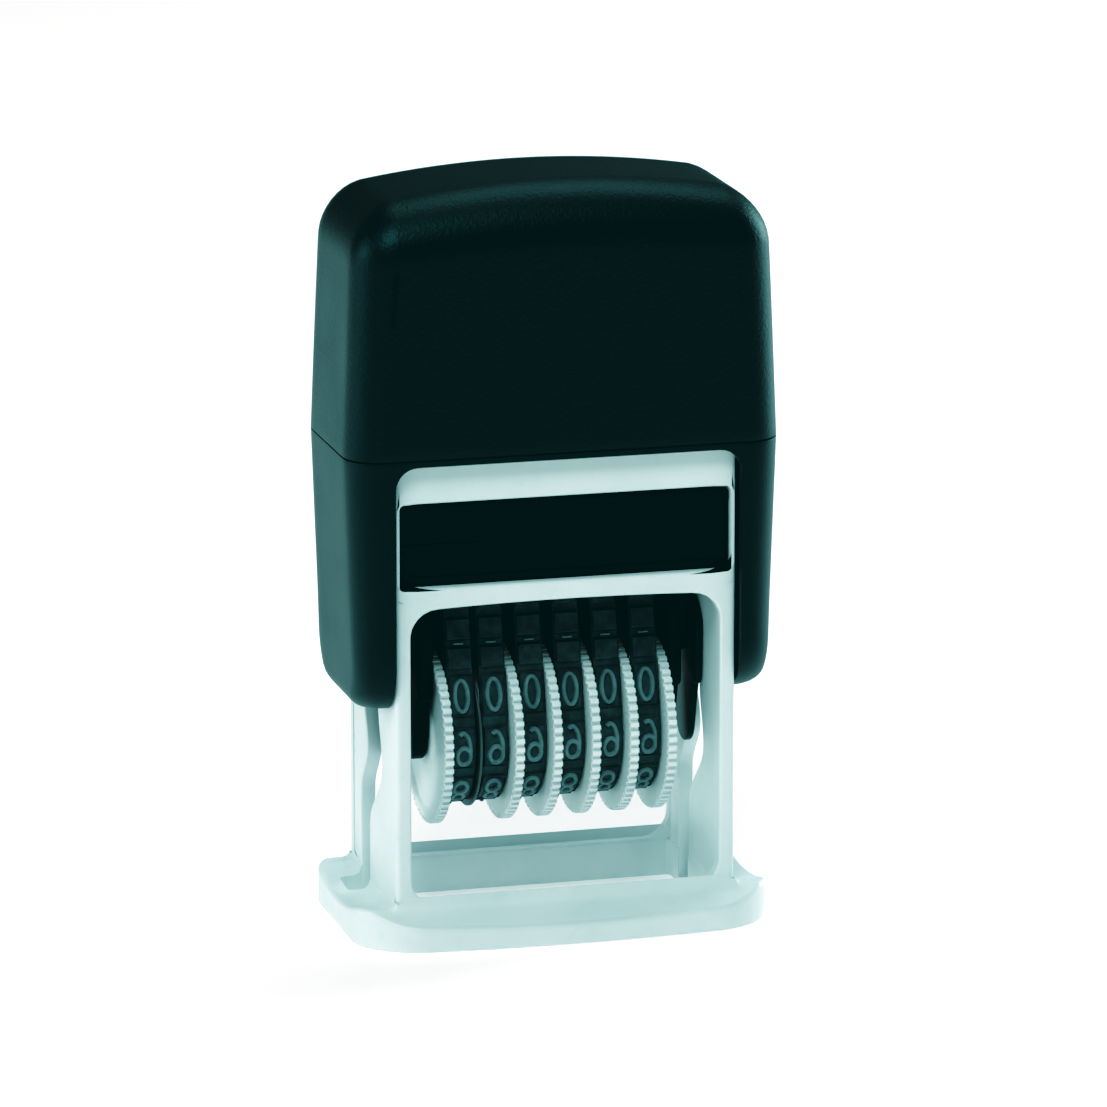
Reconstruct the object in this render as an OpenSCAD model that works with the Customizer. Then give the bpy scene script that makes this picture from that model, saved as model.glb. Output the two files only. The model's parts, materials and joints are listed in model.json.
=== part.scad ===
// Self-inking number stamp: a cap on a sprung yoke presses and flips a six-band print unit.
// Origin at the centre of the base's underside, X to the right, Y to the back, Z up.

/* [Frame] */
// Width of the frame tube
frame_w = 38.4; // [38.2:0.1:38.6]
// Depth of the frame tube
frame_d = 21.6; // [21.4:0.1:21.8]
// Height of the frame tube
frame_h = 55; // [54.6:0.1:55.6]
// Thickness of the side walls
side_wall = 1.7; // [1.5:0.1:1.7]
// Thickness of the front and back walls
face_wall = 1.6; // [1.4:0.1:1.8]

/* [Base foot] */
// Width of the foot
base_w = 47.2; // [46:0.1:49]
// Depth of the foot
base_d = 29.8; // [29:0.1:31]
// Corner radius of the foot in plan
base_corner = 6.5; // [4:0.5:7]
// Height of the foot's front and back lips
lip_h = 2.1; // [1.8:0.1:2.6]
// Height of the foot where it meets the frame
foot_h = 4.4; // [4:0.1:4.6]
// Height of the foot at the bottom of its side dishes
dish_h = 3.1; // [2.2:0.1:3.4]

/* [Windows] */
// Top edge of the wheel window
wheel_window_top = 37.6; // [37:0.1:38]
// Bottom edge of the pad window
pad_window_bottom = 40.2; // [39.8:0.1:40.3]
// Top edge of the pad window
pad_window_top = 49.6; // [49.5:0.1:50]
// Half the width of the pad window
pad_window_half = 18.7; // [18.6:0.1:18.8]

/* [Cap] */
// Height of the cap's top when released
cap_top = 83.9; // [83.8:0.1:86]
// Width of the cap at its seam
cap_w = 48.7; // [48.4:0.1:50]
// Depth of the cap
cap_d = 24.5; // [24.3:0.1:26]
// Height of the seam around the cap
seam_z = 54.7; // [54.4:0.1:56]
// Height of the bottom ends of the cap's arms
arm_bottom = 26.1; // [26:0.1:27.4]
// Radius of the arched top
arch_r = 111; // [100:1:130]
// Top edge of the cap's front opening
opening_top = 54; // [53.6:0.1:54.4]
// Half the width of the cap's front opening
opening_half = 19.6; // [19.5:0.1:19.8]
// Downward travel of the cap
stroke = 21.4; // [21:0.1:21.4]

/* [Print unit] */
// Height of the number wheels' axis when released
wheel_z = 20.75; // [20.7:0.05:21]
// Depth position of the pivot and wheel axes
unit_y = 1.0; // [0.8:0.1:1.2]
// Radius of a wheel's knurled rim
rim_r = 10; // [9.5:0.1:10.2]
// Number of knurls on a rim
knurls = 64; // [48:4:72]
// Thickness of a rim
rim_t = 1.0; // [0.8:0.1:1.0]
// Width of a number band
band_w = 3.0; // [2.8:0.1:3.0]
// Spacing of the number bands
band_pitch = 4.335; // [4.33:0.005:4.34]
// Radius of the band's cord line around a wheel
cord_r = 7.36; // [7.3:0.02:7.4]
// Distance from the wheel axis to the anvil's edge centres
anvil_rise = 18.84; // [18.7:0.02:18.9]
// Number of characters on a band
stations = 12; // [12:1:12]

/* [Mechanism] */
// Radius of the wheel shaft and of the pivot journals
shaft_r = 1.5; // [1.4:0.05:1.5]
// Radial running clearance on shafts
running = 0.05; // [0.03:0.01:0.08]
// Distance of a crank pin from the pivot
crank_throw = 2.2; // [2:0.1:2.3]
// Radius of a crank pin
crank_pin_r = 0.9; // [0.8:0.05:0.9]
// Mean radius of the return spring
spring_r = 5; // [4.8:0.1:5.2]
// Wire diameter of the return spring
spring_wire = 0.8; // [0.6:0.05:0.8]
// Number of turns of the return spring
spring_turns = 7; // [6:1:7]

/* [Hidden] */
WHEELS = [1:6];

frame_hw = frame_w / 2;
frame_hd = frame_d / 2;
inner_hw = frame_hw - side_wall;
inner_hd = frame_hd - face_wall;
over = 1;

// Cap skins and clearances
cap_side_skin = 1.6;
cap_face_skin = 1.15;
cap_top_skin = 1.2;
cap_hd = cap_d / 2;
cap_corner_r = 5.4;
cap_edge_r = 6.5;
arm_fillet_r = 6;
arm_bottom_hw = 23.35;
cap_shoulder_hw = 23.4;

// Band path: cord line around the wheel and over the two anvil edges
edge_half = 1.7;
edge_r = 1.3;
cord_to_inner = 0.51;
cord_to_outer = 0.14;
cord_to_face = 0.59;
path_d = sqrt(edge_half * edge_half + anvil_rise * anvil_rise);
lean = atan2(anvil_rise, edge_half) - acos((cord_r - edge_r) / path_d);
edge_arc = edge_r * (90 - lean) * PI / 180;
straight = sqrt(path_d * path_d - pow(cord_r - edge_r, 2));
wheel_arc = cord_r * (90 + lean) * PI / 180;
band_length = 2 * (edge_half + edge_arc + straight + wheel_arc);
station_pitch = band_length / stations;
block_l = 4.5;

// Flip geometry: the print face ends the stroke on the paper plane
face_z = wheel_z + anvil_rise + edge_r + cord_to_face;
print_r = (face_z - stroke) / 2;
pivot_z = face_z - print_r;

// Positions along X
rim_gap = 0.17;
leg_in = 15.1;
leg_out = 16.4;
cheek_in = 13.35;
cheek_out = 14.95;
crank_in = 16.55;
crank_out = 17.3;
pin_out = 18.9;
cheek_hd = 5.3;
cheek_tip_r = 2.75;
drum_r = cord_r - cord_to_inner - running;

// Tie rod between the cheeks, above the wheels and below the anvil
tie_z = 32.2;

// Pad compartment
deck_bottom = 50.6;
deck_top = 52;
tray_hw = 14.6;
pad_gap = 0.1;
yoke_bottom = 80.2;
yoke_top = 81.4;

// Feet of the cam slots
slot_foot = [1.75, 5.65];
pocket_out = 21.7;
pocket_floor = 0.8;

function band_x(i) = i == 1 ? -10.5 : -6.83 + band_pitch * (i - 2);
function rim_side(i) = i == 1 ? -1 : 1;
function ease(a, b, u) = a + (b - a) * (1 - cos(180 * max(0, min(1, u)))) / 2;
function arc(c, r, a0, a1, n) =
    [for (i = [0:n]) c + r * [cos(a0 + (a1 - a0) * i / n), sin(a0 + (a1 - a0) * i / n)]];

// Edges of the cam slot in a side wall at height z
function slot_front(z) = z < 18.6
    ? ease(slot_foot[0], -4.0, (z - 10.6) / 8)
    : ease(-4.0, -2.4, (z - 18.6) / 6.9);
function slot_back(z) = z < 19.5
    ? ease(slot_foot[1], 2.5, (z - 13.5) / 6)
    : ease(2.5, 4.4, (z - 19.5) / 6);

// A point of the band's cord line, s along it from the print face towards the front: [y, z, turn]
function path_point(s) = s < 0 ? mirror_point(path_point(-s))
    : s < edge_half ? [-s, anvil_rise + edge_r, 0]
    : s < edge_half + edge_arc ? edge_point((s - edge_half) / edge_r * 180 / PI)
    : s < edge_half + edge_arc + straight ? straight_point(s - edge_half - edge_arc)
    : wheel_point((s - edge_half - edge_arc - straight) / cord_r * 180 / PI);
function mirror_point(p) = [-p[0], p[1], -p[2]];
function edge_point(a) = [-edge_half - edge_r * sin(a), anvil_rise + edge_r * cos(a), a];
function straight_point(t) = edge_point(90 - lean) + t * [-sin(lean), -cos(lean), 0];
function wheel_point(a) = [-cord_r * cos(lean - a), cord_r * sin(lean - a), 90 - lean + a];

module along_x(x0, x1) {
    translate([x0, 0, 0]) rotate([90, 0, 90]) linear_extrude(x1 - x0) children();
}

module along_y(y0, y1) {
    translate([0, y1, 0]) rotate([90, 0, 0]) linear_extrude(y1 - y0) children();
}

module rod_x(x0, x1, y, z, r) {
    translate([x0, y, z]) rotate([0, 90, 0]) cylinder(h = x1 - x0, r = r, $fn = 64);
}

module box(low, high) {
    translate(low) cube(high - low);
}

module rounded(w, d, r) {
    square([w - 2 * r, d], center = true);
    square([w, d - 2 * r], center = true);
    for (sx = [-1, 1], sy = [-1, 1])
        translate([sx * (w / 2 - r), sy * (d / 2 - r)]) circle(r, $fn = 48);
}

// Foot: convex plan, sloping front and back, dished sides
module foot_plan() {
    bulge_r = 162;
    intersection() {
        rounded(base_w, base_d, base_corner);
        intersection_for (s = [-1, 1])
            translate([0, s * (bulge_r - base_d / 2)]) circle(bulge_r, $fn = 256);
    }
}

module foot_profile() {
    hd = base_d / 2;
    polygon([[-hd, 0], [-hd, lip_h], [-frame_hd, foot_h], [frame_hd, foot_h], [hd, lip_h], [hd, 0]]);
}

module foot() {
    dish_r = 32;
    difference() {
        intersection() {
            linear_extrude(foot_h) foot_plan();
            along_x(-base_w / 2, base_w / 2) foot_profile();
        }
        for (x0 = [-base_w / 2 - over, frame_hw])
            rod_x(x0, x0 + base_w / 2 + over - frame_hw, 0, dish_h + dish_r, dish_r);
    }
}

module cam_slot_profile() {
    steps = 26;
    z0 = pocket_floor;
    dz = (pivot_z + crank_pin_r + 0.4 - z0) / steps;
    polygon(concat(
        [for (i = [0:steps]) [slot_front(z0 + i * dz), z0 + i * dz]],
        [for (i = [steps:-1:0]) [slot_back(z0 + i * dz), z0 + i * dz]]));
}

module wheel_window() {
    translate([0, (foot_h + wheel_window_top) / 2])
        rounded(2 * inner_hw - 0.08, wheel_window_top - foot_h, 3);
}

module pad_window() {
    translate([0, (pad_window_bottom + pad_window_top) / 2])
        rounded(2 * pad_window_half, pad_window_top - pad_window_bottom, 0.8);
}

module base_frame() color("#dfe8e9") {
    ledge_y = 7.2;
    ledge_z = 38.9;
    difference() {
        union() {
            foot();
            box([-frame_hw, -frame_hd, 0], [frame_hw, frame_hd, frame_h]);
        }
        difference() {
            box([-inner_hw, -inner_hd, -over], [inner_hw, inner_hd, frame_h + over]);
            // Ledges that carry the pad cartridge
            for (s = [-1, 1])
                box([-tray_hw - 0.2, s > 0 ? ledge_y : -inner_hd - over, ledge_z],
                    [tray_hw + 0.2, s > 0 ? inner_hd + over : -ledge_y, pad_window_bottom]);
            // Deck under the return spring
            box([-tray_hw - 0.2, -inner_hd - over, deck_bottom], [tray_hw + 0.2, inner_hd + over, deck_top]);
        }
        along_y(-frame_hd - over, frame_hd + over) wheel_window();
        for (s = [-1, 1])
            along_y(s > 0 ? inner_hd : -frame_hd - over, s > 0 ? frame_hd + over : -inner_hd) pad_window();
        // Cam slots and the pockets at their feet
        along_x(-frame_hw - over, -inner_hw + over) cam_slot_profile();
        along_x(inner_hw - over, frame_hw + over) cam_slot_profile();
        for (s = [-1, 1])
            box([s > 0 ? inner_hw - over : -pocket_out, slot_foot[0], pocket_floor],
                [s > 0 ? pocket_out : -inner_hw + over, slot_foot[1], foot_h + over]);
        // Fine vertical groove near the back edge of each side
        for (x = [-frame_hw - over, frame_hw - 0.3])
            box([x, 7.4, foot_h], [x + over + 0.3, 7.8, frame_h + over]);
    }
    // Spring boss
    translate([0, unit_y, deck_top]) cylinder(h = 2.6, r = spring_r - spring_wire, $fn = 48);
}

module pad_cartridge() color("#0d1517") {
    rail_bottom = pad_window_bottom + 0.05;
    tray_top = pad_window_top - 0.1;
    cavity_hw = 13.6;
    face_y = -10;
    face_in = -inner_hd - 0.05;
    window_gap = 0.15;
    difference() {
        box([-tray_hw, face_in - 0.3, rail_bottom], [tray_hw, 8.9, tray_top]);
        // Pad cavity, open downwards, with a raised back edge to slide over the bands
        box([-cavity_hw, -5.9, rail_bottom - over], [cavity_hw, 7.5, 46]);
        box([-cavity_hw, 0, rail_bottom - over], [cavity_hw, 10, face_z + pad_gap]);
    }
    difference() {
        along_y(face_y, face_in) translate([0, (pad_window_bottom + pad_window_top) / 2])
            rounded(2 * (pad_window_half - window_gap),
                pad_window_top - pad_window_bottom - 2 * window_gap, 0.7);
        // Shallow panel in the face
        along_y(face_y - over, face_y + 0.25) translate([0, (pad_window_bottom + pad_window_top) / 2])
            rounded(2 * pad_window_half - 2.2, pad_window_top - pad_window_bottom - 2.2, 0.5);
    }
}

module ink_pad() color("#10262a") {
    box([-12.9, -5.8, face_z + pad_gap], [12.9, 7.4, 46]);
}

// Front outline of the cap, grown inwards by the skins given
module cap_front_outline(side, top, bottom) {
    r = cap_corner_r - side;
    corner = [cap_shoulder_hw - cap_corner_r,
        cap_top - arch_r + sqrt(pow(arch_r - cap_corner_r, 2) - pow(cap_shoulder_hw - cap_corner_r, 2))];
    turn = atan2(corner[1] - cap_top + arch_r, corner[0]);
    drop = top - side;
    half = concat([[arm_bottom_hw - side, bottom], [cap_w / 2 - side, seam_z]],
        arc(corner - [0, drop], r, 0, turn, 8),
        arc([0, cap_top - arch_r - drop], arch_r - side, turn, 90, 6));
    polygon(concat(half, [for (i = [len(half) - 1:-1:0]) [-half[i][0], half[i][1]]]));
}

module cap_side_outline() {
    flat_hd = cap_hd - arm_fillet_r;
    polygon(concat(
        arc([-flat_hd, arm_bottom + arm_fillet_r], arm_fillet_r, 180, 270, 8),
        arc([flat_hd, arm_bottom + arm_fillet_r], arm_fillet_r, 270, 360, 8),
        arc([cap_hd - cap_edge_r, cap_top - cap_edge_r], cap_edge_r, 0, 90, 8),
        arc([-cap_hd + cap_edge_r, cap_top - cap_edge_r], cap_edge_r, 90, 180, 8)));
}

module cap_opening() {
    r = 2.5;
    translate([0, opening_top - 40]) rounded(2 * opening_half, 80, r);
}

module cap_shell() color("#0b1f22") {
    cavity_hd = cap_hd - cap_face_skin;
    rib_y = 7;
    difference() {
        intersection() {
            along_y(-cap_hd, cap_hd) cap_front_outline(0, 0, arm_bottom);
            along_x(-cap_w / 2, cap_w / 2) cap_side_outline();
            linear_extrude(cap_top) rounded(cap_w, cap_d, 3.4);
        }
        difference() {
            intersection() {
                along_y(-cavity_hd, cavity_hd)
                    cap_front_outline(cap_side_skin, cap_top_skin, arm_bottom - over);
                along_x(-cap_w / 2, cap_w / 2) {
                    offset(r = -cap_face_skin) cap_side_outline();
                    translate([-cavity_hd, arm_bottom - over]) square([2 * cavity_hd, 20]);
                }
            }
            // Ribs that guide the cap along the frame
            for (sx = [-1, 1], sy = [-1, 1])
                box([sx > 0 ? frame_hw + 0.3 : -cap_w / 2, sy * rib_y - 0.6, arm_bottom + 4],
                    [sx > 0 ? cap_w / 2 : -frame_hw - 0.3, sy * rib_y + 0.6, seam_z + 6]);
            // Posts that hold the yoke's bridge
            for (s = [-1, 1])
                translate([s * 11, unit_y, yoke_top]) cylinder(h = 6, r = 2.2, $fn = 40);
        }
        along_y(-cap_hd - over, cap_hd + over) cap_opening();
    }
}

module drive_yoke() color("#1a2325") {
    leg_hw = 3;
    difference() {
        for (s = [-1, 1]) {
            box([s > 0 ? leg_in : -leg_out, unit_y - leg_hw, pivot_z],
                [s > 0 ? leg_out : -leg_in, unit_y + leg_hw, yoke_top]);
            rod_x(s > 0 ? leg_in : -leg_out, s > 0 ? leg_out : -leg_in, unit_y, pivot_z, leg_hw);
        }
        rod_x(-leg_out - over, leg_out + over, unit_y, pivot_z, shaft_r + running);
    }
    box([-leg_out, unit_y - leg_hw, yoke_bottom], [leg_out, unit_y + leg_hw, yoke_top]);
    translate([0, unit_y, yoke_bottom - 1.6])
        cylinder(h = yoke_top - yoke_bottom + 1.6, r = spring_r - spring_wire, $fn = 48);
    translate([0, unit_y, yoke_bottom])
        cylinder(h = yoke_top - yoke_bottom, r = spring_r + 1, $fn = 48);
}

// Helical spring between the deck and the yoke's bridge: one swept tube
module return_spring() color("#b8bfc4") {
    sides = 8;
    per_turn = 18;
    rings = spring_turns * per_turn;
    wire_r = spring_wire / 2;
    rise = yoke_bottom - deck_top - 2 * wire_r;
    points = [for (i = [0:rings], j = [0:sides - 1])
        let (a = 360 * i / per_turn, b = 360 * j / sides, r = spring_r + wire_r * cos(b))
        [r * cos(a), unit_y + r * sin(a), deck_top + wire_r + rise * i / rings + wire_r * sin(b)]];
    skin = [for (i = [0:rings - 1], j = [0:sides - 1])
        let (k = (j + 1) % sides)
        [i * sides + j, i * sides + k, (i + 1) * sides + k, (i + 1) * sides + j]];
    ends = [[for (j = [sides - 1:-1:0]) j], [for (j = [0:sides - 1]) rings * sides + j]];
    polyhedron(points, [for (f = concat(skin, ends)) [for (i = [len(f) - 1:-1:0]) f[i]]]);
}

// Side plate of the print unit
module cheek(s) color("#0a1112") {
    x0 = s > 0 ? cheek_in : -cheek_out;
    x1 = s > 0 ? cheek_out : -cheek_in;
    cheek_top = 39.6;
    difference() {
        union() {
            along_x(x0, x1) translate([unit_y, 0]) polygon([
                [-cheek_tip_r, wheel_z], [-cheek_hd, 25.5], [-cheek_hd, 35], [-3, cheek_top],
                [3, cheek_top], [cheek_hd, 35], [cheek_hd, 25.5], [cheek_tip_r, wheel_z]]);
            rod_x(x0, x1, unit_y, wheel_z, cheek_tip_r);
        }
        rod_x(x0 - over, x1 + over, unit_y, wheel_z, shaft_r);
        rod_x(x0 - over, x1 + over, unit_y, pivot_z, shaft_r);
    }
}

// Bar that the bands run over behind the print face
module anvil() color("#0a1112") {
    r = edge_r - cord_to_inner - 0.02;
    z = wheel_z + anvil_rise;
    half_d = edge_half + r - 0.1;
    box([-cheek_in, unit_y - edge_half, z - 1], [cheek_in, unit_y + edge_half, z + r]);
    box([-cheek_in, unit_y - half_d, z - 6], [cheek_in, unit_y + half_d, z]);
    for (s = [-1, 1]) rod_x(-cheek_in, cheek_in, unit_y + s * edge_half, z, r);
}

module tie_rod() color("#0a1112") {
    rod_x(-cheek_in, cheek_in, unit_y, tie_z, 1.0);
}

module wheel_shaft() color("#9aa2a6") {
    rod_x(-cheek_out, cheek_out, unit_y, wheel_z, shaft_r);
}

// Crank that turns the print unit as its pin rides in a cam slot
module flip_crank(s) color("#1a2325") {
    rod_x(s > 0 ? cheek_in : -crank_in, s > 0 ? crank_in : -cheek_in, unit_y, pivot_z, shaft_r);
    along_x(s > 0 ? crank_in : -crank_out, s > 0 ? crank_out : -crank_in) translate([unit_y, 0]) {
        polygon([
            [-cheek_tip_r, wheel_z], [-cheek_hd, 25.5], [-cheek_hd, 33], [-3, 35],
            [3, 35], [cheek_hd, 33], [cheek_hd, 25.5], [cheek_tip_r, wheel_z]]);
        translate([0, wheel_z]) circle(cheek_tip_r, $fn = 64);
    }
    rod_x(s > 0 ? crank_out : -pin_out, s > 0 ? pin_out : -crank_out,
        unit_y - crank_throw, pivot_z, crank_pin_r);
}

module centre_spacer() color("#3a4648") {
    x = (band_x(1) + band_x(2)) / 2;
    difference() {
        rod_x(x - 0.15, x + 0.15, unit_y, wheel_z, 8.3);
        rod_x(x - over, x + over, unit_y, wheel_z, shaft_r);
    }
}

module knurled_outline() {
    root_r = rim_r - 0.45;
    step = 360 / knurls;
    polygon([for (i = [0:knurls - 1], f = [-0.3, -0.2, 0.2, 0.3])
        (abs(f) < 0.25 ? rim_r : root_r) * [cos(step * (i + f)), sin(step * (i + f))]]);
}

module number_wheel(i) color("#e6edee") {
    s = rim_side(i);
    x = band_x(i);
    rim_at = x + s * (band_w / 2 + rim_gap + rim_t / 2);
    drum_end = x - s * band_w / 2;
    difference() {
        union() {
            rod_x(min(rim_at, drum_end), max(rim_at, drum_end), unit_y, wheel_z, drum_r);
            along_x(rim_at - rim_t / 2, rim_at + rim_t / 2)
                translate([unit_y, wheel_z]) knurled_outline();
        }
        rod_x(x - 4, x + 4, unit_y, wheel_z, shaft_r + running);
    }
}

// Closed outline around the wheel and the anvil edges, grown from the cord line
module band_outline(grow) {
    big = cord_r + grow;
    small = edge_r + grow;
    n = [cos(lean), sin(lean)];
    edge = [edge_half, anvil_rise];
    circle(big, $fn = 96);
    for (s = [-1, 1]) translate([s * edge_half, anvil_rise]) circle(small, $fn = 48);
    half = [[0, 0], big * n, edge + small * n, edge, edge + [0, small]];
    polygon(concat(half, [for (i = [len(half) - 1:-1:1]) [-half[i][0], half[i][1]]]));
}

module number_band(i) color("#101a1c") {
    x = band_x(i);
    along_x(x - band_w / 2, x + band_w / 2) translate([unit_y, wheel_z]) difference() {
        union() {
            band_outline(cord_to_outer);
            intersection() {
                band_outline(cord_to_face);
                for (k = [0:stations - 1]) {
                    s = (k > stations / 2 ? k - stations : k) * station_pitch;
                    p = path_point(s);
                    translate([p[0], p[1]]) rotate(p[2])
                        translate([-block_l / 2, -0.3]) square([block_l, 2.2]);
                }
            }
        }
        band_outline(-cord_to_inner);
    }
}

base_frame();
pad_cartridge();
ink_pad();
cap_shell();
drive_yoke();
return_spring();
cheek(-1);  // cheek_left
cheek(1);  // cheek_right
anvil();
tie_rod();
wheel_shaft();
flip_crank(-1);  // flip_crank_left
flip_crank(1);  // flip_crank_right
centre_spacer();
for (i = WHEELS) number_wheel(i);
for (i = WHEELS) number_band(i);
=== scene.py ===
"""Self-inking number stamp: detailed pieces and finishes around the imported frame.

Every shape is worked out in millimetres in the stamp's own frame, X to the right, Y to the back, Z up, with the
origin under the middle of the foot, and is turned into metres as its mesh is cast.
"""

import json
import logging
import math
from dataclasses import dataclass, field
from enum import Enum

import bpy
import numpy as np
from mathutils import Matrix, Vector


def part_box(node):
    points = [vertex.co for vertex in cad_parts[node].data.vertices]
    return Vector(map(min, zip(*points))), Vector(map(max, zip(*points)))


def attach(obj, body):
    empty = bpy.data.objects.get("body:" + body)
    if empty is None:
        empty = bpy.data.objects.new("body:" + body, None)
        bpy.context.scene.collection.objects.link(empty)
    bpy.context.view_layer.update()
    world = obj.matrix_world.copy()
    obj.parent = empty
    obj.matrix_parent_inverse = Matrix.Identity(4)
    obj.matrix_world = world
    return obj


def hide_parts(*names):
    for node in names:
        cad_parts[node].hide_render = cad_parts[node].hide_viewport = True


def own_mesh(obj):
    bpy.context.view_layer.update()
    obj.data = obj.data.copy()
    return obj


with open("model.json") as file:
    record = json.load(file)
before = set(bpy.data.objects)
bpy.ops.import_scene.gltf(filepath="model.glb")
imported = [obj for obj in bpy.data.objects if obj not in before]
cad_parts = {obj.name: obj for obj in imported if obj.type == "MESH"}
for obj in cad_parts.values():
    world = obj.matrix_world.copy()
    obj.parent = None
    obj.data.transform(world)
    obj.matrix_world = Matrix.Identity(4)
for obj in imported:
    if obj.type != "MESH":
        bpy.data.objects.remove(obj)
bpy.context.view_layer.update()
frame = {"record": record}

Array = np.ndarray
MM = 0.001
LOG = logging.getLogger("stamp")


# ---------------------------------------------------------------------------------------------------------------
# Places read from the frame
# ---------------------------------------------------------------------------------------------------------------


def span(node: str) -> tuple[Array, Array]:
    """Gives a CAD node's lowest and highest corners in millimetres.

    Args:
        node: name of the CAD node.

    Returns:
        The two corners, each of three numbers.
    """
    low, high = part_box(node)
    return np.array(low) / MM, np.array(high) / MM


def joint_place(name: str) -> Array:
    """Gives the point that a hinge turns about, in millimetres.

    Args:
        name: name of the joint in the record.

    Returns:
        Three numbers.
    """
    joints = frame["record"]["behaviour"]["joints"]
    return next(np.array(j["pos_m"]) for j in joints if j["name"] == name) / MM


WHEEL_AXIS = joint_place("wheel_1_turn")
PIVOT = joint_place("print_flip")


# ---------------------------------------------------------------------------------------------------------------
# Outlines and surfaces
# ---------------------------------------------------------------------------------------------------------------


class Along(Enum):
    """The axis that a flat outline is carried along."""

    X = "x"
    Y = "y"
    Z = "z"

    def place(self, a: Array, b: Array, c: Array) -> Array:
        """Puts in-plane coordinates a, b and the depth c into the stamp's frame.

        Args:
            a: first in-plane coordinate (Y for X, X for Y and Z).
            b: second in-plane coordinate (Z for X and Y, Y for Z).
            c: coordinate along the axis.

        Returns:
            Points with a last dimension of three.
        """
        a, b, c = np.broadcast_arrays(a, b, c)
        order = {Along.X: (c, a, b), Along.Y: (a, c, b), Along.Z: (a, b, c)}[self]
        return np.stack(order, axis=-1)


def arc(centre: tuple[float, float], radius: float, start: float, end: float, steps: int) -> Array:
    """Points on a circle: centre plus radius times (cos, sin) of angles in equal steps.

    Args:
        centre: the circle's centre.
        radius: its radius.
        start: first angle, in degrees.
        end: last angle, in degrees.
        steps: number of steps.

    Returns:
        Array of steps + 1 points.
    """
    turn = np.radians(np.linspace(start, end, steps + 1))
    return np.array(centre) + radius * np.stack([np.cos(turn), np.sin(turn)], axis=1)


def rounded_corners(corners: list[tuple[float, float]], radius: float, steps: int = 3) -> Array:
    """Closed outline through corners, each cut back along both sides and joined by a quadratic curve.

    Args:
        corners: the outline's corners in order.
        radius: how far each corner is cut back.
        steps: steps of each corner's curve.

    Returns:
        Array of points.
    """
    points = np.array(corners, dtype=float)
    to_last = np.roll(points, 1, axis=0) - points
    to_next = np.roll(points, -1, axis=0) - points
    last_len = np.linalg.norm(to_last, axis=1, keepdims=True)
    next_len = np.linalg.norm(to_next, axis=1, keepdims=True)
    start = points + to_last / last_len * np.minimum(radius, last_len * 0.49)
    end = points + to_next / next_len * np.minimum(radius, next_len * 0.49)
    t = np.linspace(0, 1, steps + 1)[None, :, None]
    curve = (1 - t) ** 2 * start[:, None] + 2 * t * (1 - t) * points[:, None] + t**2 * end[:, None]
    return curve.reshape(-1, 2)


def outward(loop: Array) -> Array:
    """Unit normals of a closed loop, pointing away from its middle side.

    Each is the tangent between the two neighbours turned by a right angle, with the sign that makes the loop's
    area grow.

    Args:
        loop: points of the loop.

    Returns:
        Array of normals.
    """
    tangent = np.roll(loop, -1, axis=0) - np.roll(loop, 1, axis=0)
    normal = np.stack([tangent[:, 1], -tangent[:, 0]], axis=1)
    normal /= np.maximum(np.linalg.norm(normal, axis=1, keepdims=True), 1e-9)
    x, y = loop.T
    area = np.sum(x * np.roll(y, -1) - np.roll(x, -1) * y)
    return normal if area > 0 else -normal


def box_reach(turn: Array, half: tuple[float, float], corner: float) -> Array:
    """Points where rays from the centre meet a box with round corners.

    A ray first meets the plain box; where that point lies in a corner square, it is drawn back to the corner's
    circle by solving the quadratic for the ray's length.

    Args:
        turn: ray angles in radians.
        half: half sizes of the box.
        corner: radius of its corners.

    Returns:
        Array of points.
    """
    ray = np.stack([np.cos(turn), np.sin(turn)], axis=1)
    reach = np.min(np.array(half) / np.maximum(np.abs(ray), 1e-9), axis=1)
    core = np.array(half) - corner
    hit = np.abs(ray) * reach[:, None]
    in_corner = np.all(hit > core, axis=1)
    along = np.abs(ray) @ core
    inside = np.maximum(along**2 - (core @ core - corner**2), 0)
    reach = np.where(in_corner, along + np.sqrt(inside), reach)
    return ray * reach[:, None]


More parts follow.
